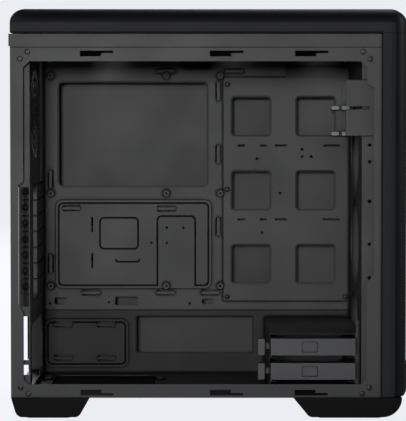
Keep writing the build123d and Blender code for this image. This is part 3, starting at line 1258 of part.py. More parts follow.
# ---------------------------------------------------------------- all nodes
def build_all():
    nodes = {
        "roof_panel": roof_panel(),
        "floor_panel": floor_panel(),
        "rear_panel": rear_panel(),
        "front_panel": front_panel(),
        "motherboard_tray": motherboard_tray(),
        "cable_plate": cable_plate(),
        "lower_tray_panel": lower_tray_panel(),
        "right_side_panel": right_side_panel(),
        "side_thumbscrews": side_thumbscrews(),
        "corner_rivets": corner_rivets(),
        "plate_screws": plate_screws(),
        "slot_screws": slot_screws(),
        "drive_cage": drive_cage(),
        "drive_tray_lower": drive_tray(0),
        "drive_tray_upper": drive_tray(1),
        "tray_latch_lower": tray_latch(0),
        "tray_latch_upper": tray_latch(1),
        "bay_bracket_near": bay_bracket_near(),
        "bay_bracket_far": bay_bracket_far(),
        "bay_clips": bay_clips(),
        "front_bezel": front_bezel(),
        "front_mesh": front_mesh(),
        "top_cover": top_cover(),
        "top_filter_frame": top_filter_frame(),
        "top_filter_mesh": top_filter_mesh(),
        "io_panel": io_panel(),
        "io_board": io_board(),
        "power_button": push_button(POWER_Y, POWER_R),
        "reset_button": push_button(RESET_Y, RESET_R),
        "usb_ports": usb_ports(),
        "audio_jacks": audio_jacks(),
        "power_light": power_light(),
        "foot_rear_left": foot(False, -1),
        "foot_rear_right": foot(False, 1),
        "foot_front_left": foot(True, -1),
        "foot_front_right": foot(True, 1),
        "foot_pads": foot_pads(),
        "psu_filter_frame": psu_filter_frame(),
        "psu_filter_mesh": psu_filter_mesh(),
        "psu_pads": psu_pads(),
    }
    for number, z in enumerate(reversed(slot_middles()), start=1):
        nodes[f"slot_cover_{number}"] = slot_cover(z)
    return nodes


for name, shape in build_all().items():
    export_step(shape, f"parts/{name}.step")
    print(name, round(shape.volume / 1000, 2), "cm3")
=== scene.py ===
# %% [markdown]
# # An empty computer case, from bare CAD to a picture
# The case is folded steel sheet with a powder coat, a moulded top cover and front
# bezel, pull-out drive trays and four feet. The CAD file holds every piece at its
# real size. This lesson dresses those pieces: edges are softened, surfaces get the
# finish that the factory gave them, and the parts that CAD only blocks in, such as
# the perforated front and the screw heads, are worked out again as surfaces.

# %% Load the frame
import json
import math
import bmesh
import bpy
import numpy as np
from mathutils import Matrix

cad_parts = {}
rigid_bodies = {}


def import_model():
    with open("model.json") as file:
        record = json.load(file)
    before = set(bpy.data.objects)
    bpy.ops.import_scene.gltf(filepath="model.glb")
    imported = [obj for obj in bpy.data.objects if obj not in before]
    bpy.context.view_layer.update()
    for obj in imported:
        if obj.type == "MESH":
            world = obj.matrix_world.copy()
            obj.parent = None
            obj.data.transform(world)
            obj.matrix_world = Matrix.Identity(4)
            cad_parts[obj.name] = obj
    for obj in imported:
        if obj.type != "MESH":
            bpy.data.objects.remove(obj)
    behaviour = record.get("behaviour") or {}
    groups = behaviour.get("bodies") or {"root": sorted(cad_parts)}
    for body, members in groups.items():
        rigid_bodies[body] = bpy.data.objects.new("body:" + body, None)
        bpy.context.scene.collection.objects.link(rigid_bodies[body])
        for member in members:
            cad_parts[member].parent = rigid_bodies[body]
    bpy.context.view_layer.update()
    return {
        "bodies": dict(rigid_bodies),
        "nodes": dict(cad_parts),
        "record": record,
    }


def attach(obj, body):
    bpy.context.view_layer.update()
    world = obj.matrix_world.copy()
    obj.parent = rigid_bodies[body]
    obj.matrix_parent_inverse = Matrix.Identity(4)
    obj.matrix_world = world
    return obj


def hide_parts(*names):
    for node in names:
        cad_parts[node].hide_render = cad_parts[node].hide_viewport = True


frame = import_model()
nodes = frame["nodes"]
body_of = {n: b for b, e in frame["bodies"].items() for n, o in nodes.items() if o.parent == e}
MM = 0.001

# %% [markdown]
# ## Colours and nodes
# A paint colour is usually written as a hex value, as on a screen. Cycles wants
# linear light, so one function turns the one into the other. A second small
# function adds a shader node, gives it its settings and links what feeds it. It
# keeps every material below readable as a list of layers.

# %% Colour and node helpers
def linear(code):
    """Linear RGBA of an sRGB hex colour: ((c + 0.055) / 1.055) ** 2.4 above the toe."""
    c = np.array([int(code[i:i + 2], 16) for i in (1, 3, 5)]) / 255
    light = np.where(c <= 0.04045, c / 12.92, ((c + 0.055) / 1.055) ** 2.4)
    return (*light.tolist(), 1.0)


def add(tree, kind, inputs=(), **settings):
    """A new node of a kind, with its settings, and its inputs set or linked by name or number."""
    node = tree.nodes.new("ShaderNode" + kind)
    for name, value in settings.items():
        setattr(node, name, value)
    for name, value in dict(inputs).items():
        if isinstance(value, bpy.types.NodeSocket):
            tree.links.new(value, node.inputs[name])
        else:
            node.inputs[name].default_value = value
    return node


def finish_of(name, **sockets):
    """A new material with its Principled shader's own sockets set, its tree and its object coordinates."""
    made = bpy.data.materials.new(name)
    made.use_nodes = True
    tree = made.node_tree
    shader = tree.nodes["Principled BSDF"]
    for socket, value in sockets.items():
        shader.inputs[socket.replace("_", " ")].default_value = value
    place = add(tree, "TexCoord").outputs["Object"]
    return made, tree, shader, place


def two_tone(tree, factor, low, high):
    """A colour that runs from low to high as factor goes from 0 to 1."""
    return add(tree, "Mix", {0: factor, 6: linear(low), 7: linear(high)}, data_type="RGBA").outputs[2]


def spread(tree, value, low, high, to_low, to_high):
    """value moved from the range low..high to the range to_low..to_high, and held there."""
    return add(tree, "MapRange", {0: value, 1: low, 2: high, 3: to_low, 4: to_high}).outputs[0]


print("white is", linear("#ffffff"), "and mid grey", linear("#808080"))

# %% [markdown]
# ## Powder-coated steel
# The sheets are sprayed with dry black powder and baked. The powder melts into a
# skin with a fine orange-peel texture, so it is black with a soft, broad shine.
# Real grain is about 0.4 mm; it is drawn at 1.2 mm so that it still shows. A
# second, slow noise lets the skin's thickness vary, and a thin film of dust makes
# faces that look up slightly paler. Grooves, inner corners and faces near walls get
# painted shade: they are drawn darker and duller by how much open air each point
# sees, in place of deep shade, which these lamps don't give. The lower panel's coat
# is drawn darker and more matt as painted shade too, for a panel that lies in shade:
# whether its real coat differs is not known.

# %% Powder coat
# Painted shade: grooves and inner corners sink towards this colour, the darker the less open air they see.
PAINTED_SHADE = "#050506"       # colour that a groove sinks to
NEAR_FULL = 0.72         # share of open air under which a groove is at its darkest
FAR_FULL = 0.35
CLEAR_AIR = 0.97         # share of open air from which nothing is darkened


def with_painted_shade(tree, shader, skin, near_mm, near_dark, far_mm, far_dark):
    """The colour skin with painted shade: darker by open air near and far; the near painted shade takes the shine
    away too.
    """
    shine = shader.inputs["Specular IOR Level"].default_value
    for reach, full, dark in ((far_mm, FAR_FULL, far_dark), (near_mm, NEAR_FULL, near_dark)):
        air = add(tree, "AmbientOcclusion", {"Distance": reach * MM}, samples=6).outputs["AO"]
        shade = spread(tree, air, full, CLEAR_AIR, dark, 0.0)
        skin = add(tree, "Mix", {0: shade, 6: skin, 7: linear(PAINTED_SHADE)}, data_type="RGBA").outputs[2]
    dulled = spread(tree, air, NEAR_FULL, CLEAR_AIR, 0.12 * shine, shine)
    tree.links.new(dulled, shader.inputs["Specular IOR Level"])
    return skin


def powder_coat(name, dark, light, rough, grain_mm, depth):
    """Powder coat on steel: colour dark to light over 90 mm clouds, a bump of grain_mm that is depth mm high."""
    made, tree, shader, place = finish_of(name, IOR=1.5)
    cloud = add(tree, "TexNoise", {"Vector": place, "Scale": 1 / (90 * MM), "Detail": 3.0})
    peel = add(tree, "TexNoise", {"Vector": place, "Scale": 1 / (grain_mm * MM), "Detail": 2.0})
    up = add(tree, "SeparateXYZ", {0: add(tree, "NewGeometry").outputs["Normal"]}).outputs[2]
    speck = add(tree, "TexNoise", {"Vector": place, "Scale": 1 / (14 * MM), "Detail": 6.0}).outputs[0]
    dust = add(tree, "Math", {0: spread(tree, up, 0.6, 1.0, 0, 0.12), 1: spread(tree, speck, 0.35, 0.75, 0, 1)},
               operation="MULTIPLY").outputs[0]
    coat = two_tone(tree, spread(tree, cloud.outputs[0], 0.3, 0.7, 0, 1), dark, light)
    skin = add(tree, "Mix", {0: dust, 6: coat, 7: linear("#6b6a66")}, data_type="RGBA").outputs[2]
    # Painted shade: darker and duller in grooves, inner corners and near walls, by how much open air each point sees.
    tree.links.new(with_painted_shade(tree, shader, skin, 5, 0.93, 110, 0.6), shader.inputs["Base Color"])
    tree.links.new(spread(tree, cloud.outputs[0], 0.3, 0.7, rough, rough + 0.09), shader.inputs["Roughness"])
    bump = add(tree, "Bump", {"Height": peel.outputs[0], "Strength": 0.25, "Distance": depth * MM})
    tree.links.new(bump.outputs[0], shader.inputs["Normal"])
    return made


coated_steel = powder_coat("SatinBlackPowderCoatedSteel", "#2f3032", "#363739", 0.5, 1.2, 0.12)
# The lower panel's coat: the same powder drawn darker and more matt, as painted shade.
shaded_steel = powder_coat("PowderCoatedSteelInPaintedShade", "#1d1e20", "#232426", 0.62, 1.2, 0.12)
mesh_steel = powder_coat("PowderCoatedPerforatedSteel", "#1b1c1e", "#212224", 0.5, 1.0, 0.08)

# %% [markdown]
# ## Moulded plastics
# The cover, the bezel and the feet are black ABS from a spark-eroded mould, which
# leaves an even, leathery grain of about 1 mm. The drive trays are a smoother,
# slightly greyer ABS. Buttons and the control plate are polished in the mould, so
# their clear reflection comes from a low roughness and not from a paler colour.
# Along the steel, the cover and the bezel get a lighter band that turns the corner:
# painted light on the flat sides that face the lamps. As on the steel, grooves and
# inner corners get painted shade.

# %% Plastics
BAND_OUTER = ((0, 228), (2, 489))        # axis and mm at which the painted light band ends
BAND_INNER = ((0, 214), (2, 480))        # axis and mm at which it starts, at the steel


def painted_light_band(tree, place):
    """1 on the painted light band: under both outer limits, and over one of the inner limits or both."""
    along = add(tree, "SeparateXYZ", {0: place})
    within = [spread(tree, along.outputs[axis], edge * MM, (edge + 2) * MM, 1, 0) for axis, edge in BAND_OUTER]
    beyond = [spread(tree, along.outputs[axis], (edge - 1) * MM, edge * MM, 0, 1) for axis, edge in BAND_INNER]
    inner = add(tree, "Math", {0: within[0], 1: within[1]}, operation="MULTIPLY").outputs[0]
    outer = add(tree, "Math", {0: beyond[0], 1: beyond[1]}, operation="MAXIMUM").outputs[0]
    return add(tree, "Math", {0: inner, 1: outer}, operation="MULTIPLY").outputs[0]


def moulded(name, dark, light, rough, grain_mm, depth, shine=0.5, light_band_paint=None):
    """Moulded plastic: colour dark to light over 60 mm clouds, cells of grain_mm that are depth mm high."""
    made, tree, shader, place = finish_of(name, IOR=1.54, Specular_IOR_Level=shine)
    grain = add(tree, "TexVoronoi", {"Vector": place, "Scale": 1 / (grain_mm * MM), "Smoothness": 0.6},
                feature="SMOOTH_F1")
    cloud = add(tree, "TexNoise", {"Vector": place, "Scale": 1 / (60 * MM), "Detail": 4.0}).outputs[0]
    skin = two_tone(tree, spread(tree, cloud, 0.3, 0.7, 0, 1), dark, light)
    # The lighter band along the steel is painted light.
    if light_band_paint:
        skin = add(tree, "Mix", {0: painted_light_band(tree, place), 6: skin, 7: linear(light_band_paint)}, data_type="RGBA").outputs[2]
    # Painted shade: grooves and inner corners are darker and duller, by how much open air each point sees.
    tree.links.new(with_painted_shade(tree, shader, skin, 4, 0.85, 60, 0.6), shader.inputs["Base Color"])
    tree.links.new(spread(tree, cloud, 0.25, 0.75, rough - 0.03, rough + 0.06), shader.inputs["Roughness"])
    bump = add(tree, "Bump", {"Height": grain.outputs[0], "Strength": 0.35, "Distance": depth * MM})
    tree.links.new(bump.outputs[0], shader.inputs["Normal"])
    return made


black_plastic = moulded("GrainedBlackABS", "#0a0b0c", "#0e0f10", 0.5, 1.1, 0.06, shine=0.07)
plastic_with_light_band = moulded("GrainedBlackABSWithPaintedLightBand", "#101112", "#141516", 0.5, 1.1, 0.06, 0.07,
                         light_band_paint="#2b2c2f")
caddy_plastic = moulded("SatinBlackABS", "#2e2f33", "#35363a", 0.42, 1.6, 0.02)
gloss_plastic = moulded("PolishedBlackABS", "#101113", "#151618", 0.16, 2.4, 0.004, shine=0.35)
rubber = moulded("MattBlackNitrileRubber", "#202022", "#2a2a2c", 0.82, 1.3, 0.08)
nylon = moulded("BlackNylonFilterCloth", "#131315", "#1a1a1c", 0.7, 0.8, 0.03, shine=0.12)

# %% [markdown]
# ## Metals, board and light guide
# Screws are steel with black zinc, turned on a lathe: fine rings round their axis
# are far too small to see, so a stretched noise stands in for them. Clips and
# socket shells are bright nickel plate. The small board is glass-fibre laminate
# under green solder mask, and the power light shines through clear acrylic.

# %% Metals, laminate and acrylic
def plated(name, low, high, rough):
    """Plated metal: noise stretched twelve times along Y is its fine scratches."""
    made, tree, shader, place = finish_of(name, Metallic=1.0)
    scratch = add(tree, "TexNoise", {"Vector": add(tree, "Mapping", {0: place, 3: (1, 12, 1)}).outputs[0],
                                     "Scale": 1 / (6 * MM), "Detail": 5.0}).outputs[0]
    tree.links.new(two_tone(tree, spread(tree, scratch, 0.3, 0.7, 0, 1), low, high), shader.inputs["Base Color"])
    tree.links.new(spread(tree, scratch, 0.3, 0.7, rough, rough + 0.12), shader.inputs["Roughness"])
    bump = add(tree, "Bump", {"Height": scratch, "Strength": 0.2, "Distance": 0.03 * MM})
    tree.links.new(bump.outputs[0], shader.inputs["Normal"])
    return made


def laminate(name, low, high):
    """Board laminate: solder mask over tracks that a brick pattern of 9 mm lays out."""
    made, tree, shader, place = finish_of(name, IOR=1.55, Roughness=0.3, Coat_Weight=0.5, Coat_Roughness=0.15)
    tracks = add(tree, "TexBrick", {"Vector": place, "Scale": 1 / (9 * MM), "Mortar Size": 0.05,
                                    "Color1": linear(low), "Color2": linear(low), "Mortar": linear(high)})
    tree.links.new(tracks.outputs[0], shader.inputs["Base Color"])
    return made


def acrylic(name, tint):
    """Clear acrylic with a slight haze of 2 mm noise."""
    made, tree, shader, place = finish_of(name, IOR=1.49, Transmission_Weight=0.85)
    haze = add(tree, "TexNoise", {"Vector": place, "Scale": 1 / (2 * MM)}).outputs[0]
    tree.links.new(spread(tree, haze, 0.3, 0.7, 0.12, 0.25), shader.inputs["Roughness"])
    tree.links.new(two_tone(tree, haze, tint, "#ffffff"), shader.inputs["Base Color"])
    return made


black_zinc = plated("BlackZincPlatedSteel", "#2c2c2e", "#454548", 0.34)
bright_steel = plated("BrightNickelPlatedSteel", "#68696b", "#7c7d7f", 0.5)
board_green = laminate("GlassFibreLaminate", "#12382a", "#1d5340")
clear_acrylic = acrylic("ClearAcrylic", "#dfe8ee")
finishes = {"coated_steel": coated_steel, "black_screws": black_zinc, "bright_steel": bright_steel,
            "black_plastic": black_plastic, "caddy_plastic": caddy_plastic, "gloss_plastic": gloss_plastic,
            "mesh_steel": mesh_steel, "filter_mesh": nylon, "rubber": rubber, "circuit_board": board_green,
            "light_guide": clear_acrylic}
slot_of = {row["node"]: row["material_slot"] for row in frame["record"]["subparts"]}
finish_for = {node: finishes[slot] for node, slot in slot_of.items()}
# The cover and the bezel carry the painted light band; the lower panel, its coat in painted shade.
finish_for.update(top_cover=plastic_with_light_band, front_bezel=plastic_with_light_band, lower_tray_panel=shaded_steel)
print(len(finishes), "finishes for", len(slot_of), "nodes")

# %% [markdown]
# ## Folded edges that catch the light
# A press brake never leaves a knife edge: each fold and each cut has a small
# radius, and that radius draws the thin bright lines of a real case. The CAD mesh
# is loose triangles, so it is copied, its doubles are merged and its flat faces
# joined, and a Bevel modifier rounds what is left. The copy stands for the node.
# The cover's rear slope and the front feet's toes are arcs on the real case: there
# the copy is cut into strips, and the strips are moved onto the arc.

# %% Softened copies of the CAD nodes
FOOT_TOP = 26 * MM       # top of the feet
TOE_X = 214 * MM         # middle of the toe's quarter circle
TOE_R = 24 * MM
TAIL_FOOT = 489.6 * MM   # height at which the cover's rear slope starts
TAIL_RUN = 21 * MM       # its length along X


def cut_across(work, axis, places):
    """Cuts the mesh in two at each place along an axis."""
    for place in places:
        spot, way = [0, 0, 0], [0, 0, 0]
        spot[axis], way[axis] = place, 1
        bmesh.ops.bisect_plane(work, geom=work.verts[:] + work.edges[:] + work.faces[:], plane_co=spot, plane_no=way)


def rounded_toe(work):
    """The front foot's toe as a quarter circle x = TOE_X + sqrt(TOE_R^2 - (FOOT_TOP - z)^2), not a slope."""
    cut_across(work, 2, np.arange(4, 26, 2) * MM)
    for vert in work.verts:
        if vert.co.x > TOE_X - 0.1 * MM:
            vert.co.x = TOE_X + math.sqrt(max(TOE_R ** 2 - (FOOT_TOP - vert.co.z) ** 2, 0))


def rounded_tail(work):
    """The cover's rear slope as an arc: heights over its foot grow by sqrt(2 t - t^2) / t, t = 0..1 along it."""
    rear, foot, run = min(vert.co.x for vert in work.verts), TAIL_FOOT, TAIL_RUN
    cut_across(work, 0, [rear + t * run for t in (0.02, 0.06, 0.12, 0.2, 0.3, 0.42, 0.56, 0.72, 0.86)])
    for vert in work.verts:
        t = (vert.co.x - rear) / run
        if 0.001 < t < 1 and vert.co.z > foot:
            vert.co.z = foot + (vert.co.z - foot) * math.sqrt(2 * t - t * t) / t


def stand_for(piece, node):
    """The piece takes the node's place: it is linked, replaces the node, which is hidden, and rides on its body."""
    bpy.context.scene.collection.objects.link(piece)
    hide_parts(node)
    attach(piece, body_of[node])
    return piece


def softened(node, radius_mm, reshape=None):
    """A copy of a CAD node's mesh: vertices nearer than 2 um merged, faces flatter than 1 degree joined."""
    mesh = nodes[node].data.copy()
    work = bmesh.new()
    work.from_mesh(mesh)
    bmesh.ops.remove_doubles(work, verts=work.verts, dist=2e-6)
    bmesh.ops.dissolve_limit(work, angle_limit=math.radians(1.0), verts=work.verts, edges=work.edges)
    if reshape:
        reshape(work)
    work.to_mesh(mesh)
    work.free()
    mesh.materials.clear()
    mesh.materials.append(finish_for[node])
    mesh.shade_smooth()
    mesh.set_sharp_from_angle(angle=math.radians(32))
    piece = bpy.data.objects.new(node + ".soft", mesh)
    edge = piece.modifiers.new("Fold radius", "BEVEL")
    edge.width, edge.segments, edge.limit_method = radius_mm * MM, 2, "ANGLE"
    edge.angle_limit = math.radians(40)
    edge.use_clamp_overlap = True
    even = piece.modifiers.new("Flat faces stay flat", "WEIGHTED_NORMAL")
    even.weight, even.keep_sharp = 80, True
    return stand_for(piece, node)


reshaped = {"top_cover": rounded_tail, "foot_front_left": rounded_toe, "foot_front_right": rounded_toe}
radius_of = {"coated_steel": 0.35, "black_plastic": 0.7, "caddy_plastic": 0.6, "gloss_plastic": 0.3, "rubber": 0.8}
remade = {"front_mesh", "top_filter_mesh", "psu_filter_mesh", "corner_rivets", "plate_screws", "slot_screws",
          "side_thumbscrews"}
for node in sorted(set(nodes) - remade):
    radius = radius_of.get(slot_of[node])
    if radius is None:
        nodes[node].data.materials.clear()
        nodes[node].data.materials.append(finish_for[node])
    else:
        softened(node, radius, reshape=reshaped.get(node))
print(len(nodes) - len(remade), "nodes carried over,", len(remade), "to be made again")

# %% [markdown]
# ## A surface from a formula
# Screw heads, rivets and thumbscrews are all turned parts, so one helper makes
# them: a grid of distance from the axis and angle round it. Heights and radii are
# whole arrays. The rows are joined into faces, the first and last row are closed,
# and the sign of the enclosed volume says whether the faces look outwards.

# %% Turned surfaces
AXES = {"-X": ((0, 1, 0), (0, 0, 1), (-1, 0, 0)), "-Y": ((1, 0, 0), (0, 0, 1), (0, -1, 0)),
        "+Y": ((1, 0, 0), (0, 0, 1), (0, 1, 0))}


def ring_faces(rows, columns):
    """Quads between the rows of a grid whose columns go right round."""
    i, j = np.meshgrid(np.arange(rows - 1), np.arange(columns), indexing="ij")
    k = (j + 1) % columns
    quads = np.stack([i * columns + j, i * columns + k, (i + 1) * columns + k, (i + 1) * columns + j], -1)
    return quads.reshape(-1, 4)


def turned_over(quads):
    """The same faces seen from the other side; a triangle keeps its doubled corner last."""
    flipped = quads[:, ::-1].copy()
    fan = quads[:, 2] == quads[:, 3]
    flipped[fan] = quads[fan][:, [1, 0, 2, 3]]
    return flipped


def outward(points, quads):
    """The quads, turned over when the volume that they enclose, a sum of p0 . (p1 x p2) / 6, is negative."""
    volume = 0.0
    for a, b, c in ((0, 1, 2), (0, 2, 3)):
        p, q, r = points[quads[:, a]], points[quads[:, b]], points[quads[:, c]]
        volume += np.einsum("ij,ij->i", p, np.cross(q, r)).sum()
    return quads if volume > 0 else turned_over(quads)


def turned(heights, radii, centre, axis):
    """Points centre + r (cos t * u + sin t * v) + h * w on a grid, with h and r as arrays of rows by angles."""
    u, v, w = (np.array(d, float) for d in AXES[axis])
    t = np.linspace(0, 2 * math.pi, radii.shape[1], endpoint=False)
    flat = radii[..., None] * (np.cos(t)[None, :, None] * u + np.sin(t)[None, :, None] * v)
    return (np.array(centre) + flat + heights[..., None] * w).reshape(-1, 3)


def closed(points, rows, columns):
    """The grid's faces with a fan at each end: a middle point is added for the first row and for the last."""
    ends = np.array([points[:columns].mean(0), points[-columns:].mean(0)])
    j = np.arange(columns)
    k, last = (j + 1) % columns, (rows - 1) * columns
    foot = np.stack([k, j, np.full(columns, rows * columns)], -1)
    crown = np.stack([last + j, last + k, np.full(columns, rows * columns + 1)], -1)
    quads = ring_faces(rows, columns)
    fans = np.vstack([foot, crown])
    return np.vstack([points, ends]), np.vstack([quads, np.hstack([fans, fans[:, 2:]])])


def mesh_piece(name, points, quads, node):
    """A mesh object from points and quads, with the node's finish; a quad that repeats its end is a triangle."""
    mesh = bpy.data.meshes.new(name)
    mesh.from_pydata(points.tolist(), [], [q[:3] if q[2] == q[3] else q for q in quads.tolist()])
    mesh.validate()
    mesh.materials.append(finish_for[node])
    mesh.shade_smooth()
    mesh.set_sharp_from_angle(angle=math.radians(40))
    return stand_for(bpy.data.objects.new(name, mesh), node)


def islands(node):
    """Lowest and highest corner of each separate solid of a node: labels spread along edges until they settle."""
    work = bmesh.new()
    work.from_mesh(nodes[node].data)
    bmesh.ops.remove_doubles(work, verts=work.verts, dist=2e-6)
    co = np.array([v.co for v in work.verts])
    ends = np.array([[v.index for v in e.verts] for e in work.edges])
    work.free()
    label = np.arange(len(co))
    while True:
        low = np.minimum(label[ends[:, 0]], label[ends[:, 1]])
        new = label.copy()
        np.minimum.at(new, ends[:, 0], low)
        np.minimum.at(new, ends[:, 1], low)
        if (new == label).all():
            break
        label = new
    return [(co[label == k].min(0), co[label == k].max(0)) for k in np.unique(label)]


print("the node of slot screws holds", len(islands("slot_screws")), "screws")

# %% [markdown]
# ## Screw and rivet heads
# The expansion-slot screws and the plate's screws are pan heads with a cross
# recess: a low dome from which the tapered cross of a driver is taken away. The
# rivets at the corners are flat domes with a small dimple. The thumbscrews have a
# knurled rim and a slot. Each formula is in its function's first line.

# %% Heads
def cross_recess(r, t, half, reach):
    """1 inside a cross of two bars, half wide and reach long, with a soft edge, and 0 outside."""
    def bar(a, b):
        wide = np.clip((half - np.abs(a)) / (0.35 * half) + 1, 0, 1)
        return wide * np.clip((reach - np.abs(b)) / (0.3 * reach) + 1, 0, 1)

    x, y = r * np.cos(t), r * np.sin(t)
    return np.maximum(bar(x, y), bar(y, x))


def head_rows(radius, height, dome, recess, rim=0.0, teeth=0, rows=15, columns=48):
    """Rows of a head: up a side radius * (1 + rim cos(teeth t)), over height * (1 - dome s^2.6) less the recess."""
    t = np.linspace(0, 2 * math.pi, columns, endpoint=False)[None, :]
    s = np.linspace(1, 0.02, rows)[:, None]
    wave = 1 + rim * np.cos(teeth * t)
    top_r = radius * s * np.where(s > 0.9, wave, 1)
    top_h = height * (1 - dome * s ** 2.6) - recess(top_r, t)
    side_r = np.repeat(radius * wave, 3, 0)
    side_h = np.array([0, 0.5, 1])[:, None] * height * (1 - dome) * 0.96 + 0 * side_r
    seat_r = 0.2 * radius + 0 * t
    seat_h = 0 * t
    return np.vstack([seat_h, side_h, top_h]), np.vstack([seat_r, side_r, top_r])


def heads(node, axis, shape, shank_mm):
    """One piece with a head and a shank for each solid of a node; "+-Y" turns each head to its nearer side."""
    all_points, all_quads, start = [], [], 0
    for low, high in islands(node):
        middle = (low + high) / 2
        way = axis if axis != "+-Y" else ("-Y" if middle[1] < 0 else "+Y")
        along, sign = "XYZ".index(way[1]), -1 if way[0] == "-" else 1
        tip, far = (high, low) if sign > 0 else (low, high)
        heights, radii = shape()
        seat = middle.copy()
        seat[along] = tip[along] - sign * heights.max()
        rod = np.array([[abs(seat[along] - far[along])], [0.0]]) * -0.99 * np.ones((1, 16))
        for rise, wide in ((heights, radii), (rod, np.full_like(rod, shank_mm * MM))):
            points, faces = closed(turned(rise, wide, seat, way), *wide.shape)
            all_points.append(points)
            all_quads.append(outward(points - seat, faces) + start)
            start += len(points)
    return mesh_piece(node + ".turned", np.vstack(all_points), np.vstack(all_quads), node)


def pan_head(radius, height):
    """A low dome with a cross recess over 0.62 of its radius, 0.55 of its height deep."""
    cut = lambda r, t: 0.55 * height * cross_recess(r, t, 0.13 * radius, 0.62 * radius)
    return lambda: head_rows(radius, height, 0.34, cut)


def rivet_head(radius, height):
    """A flat dome with a dimple exp(-(r / 0.35 R)^2), 0.35 of its height deep."""
    cut = lambda r, t: 0.35 * height * np.exp(-(r / (0.35 * radius)) ** 2) + 0 * t
    return lambda: head_rows(radius, height, 0.5, cut, rows=9, columns=32)


def knurled_head(radius, height):
    """A cylinder with 30 knurls and a driver slot, 0.18 of its radius wide."""
    cut = lambda r, t: 0.12 * height * (np.abs(r * np.sin(t)) < 0.09 * radius)
    return lambda: head_rows(radius, height, 0.06, cut, rim=0.035, teeth=30, rows=20, columns=240)


heads("slot_screws", "-Y", pan_head(3.2 * MM, 2.2 * MM), 1.4)
heads("plate_screws", "-Y", pan_head(2.75 * MM, 1.8 * MM), 1.1)
heads("side_thumbscrews", "-X", knurled_head(6.0 * MM, 5.0 * MM), 1.5)
heads("corner_rivets", "+-Y", rivet_head(3.0 * MM, 1.0 * MM), 1.2)

# %% [markdown]
# ## Perforated steel and woven filters
# A perforated sheet is one small cell again and again: an outline ring, a hole
# ring, and a band of faces between them. The steel front has round holes in
# hexagons, the dust filters square holes in squares. Cells at the border have no
# hole, and their points are pushed back onto the panel's rounded outline. Equal
# points are joined, so no seam stays open. Solidify then gives the sheet its
# thickness. Real filter cloth is finer; here its threads are 2.4 mm apart.

# %% Perforated sheets
def into_outline(points, low, high, corner):
    """The nearest points of a rectangle low to high whose corners have a radius."""
    held = np.clip(points, low, high)
    core = np.clip(held, low + corner, high - corner)
    away = held - core
    far = np.maximum(np.hypot(away[..., 0], away[..., 1]), 1e-9)[..., None]
    return core + away * np.minimum(1, corner / far)


def cell_centres(low, high, step, rise, stagger):
    """Centres on rows that are rise apart, step apart along a row, every other row moved by stagger."""
    rows = np.arange(math.ceil((high[1] - low[1]) / rise) + 2) - 0.5
    across = np.arange(math.ceil((high[0] - low[0]) / step) + 3) - 1.0
    j, i = np.meshgrid(rows, across, indexing="ij")
    return np.stack([low[0] + (i + stagger * (np.floor(j) % 2)) * step, low[1] + j * rise], -1).reshape(-1, 2)


def perforated(name, node, panels, ring, hole, pitch, corner, surface, thick, axis):
    """One piece of perforated panels; a face is a band between ring and hole, a hole-less cell closes to a point."""
    step, rise, stagger = pitch
    all_points, all_quads, start = [], [], 0
    for low, high in panels:
        centres = cell_centres(low, high, step, rise, stagger)
        inside = ((centres > low + 0.75 * step) & (centres < high - 0.75 * step)).all(1)
        outer = centres[:, None] + ring
        inner = centres[:, None] + hole * inside[:, None, None]
        points = into_outline(np.stack([outer, inner], 1), low, high, corner)
        count = len(ring)
        cell = 2 * count * np.arange(len(centres))[:, None, None]
        all_quads.append((ring_faces(2, count) + cell).reshape(-1, 4) + start)
        all_points.append(points.reshape(-1, 2))
        start += points.size // 2
    flat, quads = np.vstack(all_points), np.vstack(all_quads)
    _, first, same = np.unique(np.round(flat / (0.01 * MM)).astype(int), axis=0, return_index=True,
                               return_inverse=True)
    flat, quads = flat[first], same.reshape(-1)[quads]
    p = flat[quads]
    shift = np.roll(p, -1, 1)
    area = 0.5 * (p[..., 0] * shift[..., 1] - p[..., 1] * shift[..., 0]).sum(1)
    quads = quads[np.abs(area) > 1e-10]
    mesh = bpy.data.meshes.new(name)
    mesh.from_pydata(surface(flat).tolist(), [], [list(dict.fromkeys(q)) for q in quads.tolist()])
    mesh.validate()
    if sum(poly.normal[axis] for poly in mesh.polygons) < 0:
        mesh.flip_normals()
    mesh.materials.append(finish_for[node])
    piece = bpy.data.objects.new(name, mesh)
    sheet = piece.modifiers.new("Sheet", "SOLIDIFY")
    sheet.thickness, sheet.offset = thick * MM, -1
    print(name, len(quads), "faces before its thickness")
    return stand_for(piece, node)


def points_of(node):
    """The vertices of a CAD node as rows of X, Y and Z."""
    co = np.empty(3 * len(nodes[node].data.vertices))
    nodes[node].data.vertices.foreach_get("co", co)
    return co.reshape(-1, 3)


def box_of(node):
    """Lowest and highest corner of a CAD node."""
    return points_of(node).min(0), points_of(node).max(0)


HEX_STEP = 5.8 * MM
HEX_HOLE = 0.36 * HEX_STEP
low, high = box_of("front_mesh")
co = points_of("front_mesh")
profile_y = np.unique(np.round(co[:, 1], 5))
profile_x = np.array([co[np.abs(co[:, 1] - y) < 2e-5][:, 0].max() for y in profile_y])
print(len(profile_y), "points on the front's curve", profile_x.min(), profile_x.max())
turn = np.arange(12) * math.pi / 6
spokes = np.stack([np.cos(turn), np.sin(turn)], -1)
hexagon = spokes * np.where(np.arange(12) % 2 == 1, HEX_STEP / math.sqrt(3), HEX_STEP / 2)[:, None]
perforated("front_mesh.perforated", "front_mesh", [(low[1:], high[1:])], hexagon, spokes * HEX_HOLE,
           (HEX_STEP, HEX_STEP * math.sqrt(3) / 2, 0.5), 7.7 * MM,
           lambda f: np.stack([np.interp(f[:, 0], profile_y, profile_x), f[:, 0], f[:, 1]], -1), 1.0, 0)
CLOTH_STEP = 2.4 * MM
square = np.array([[-1, -1], [1, -1], [1, 1], [-1, 1]]) * 0.5 * CLOTH_STEP
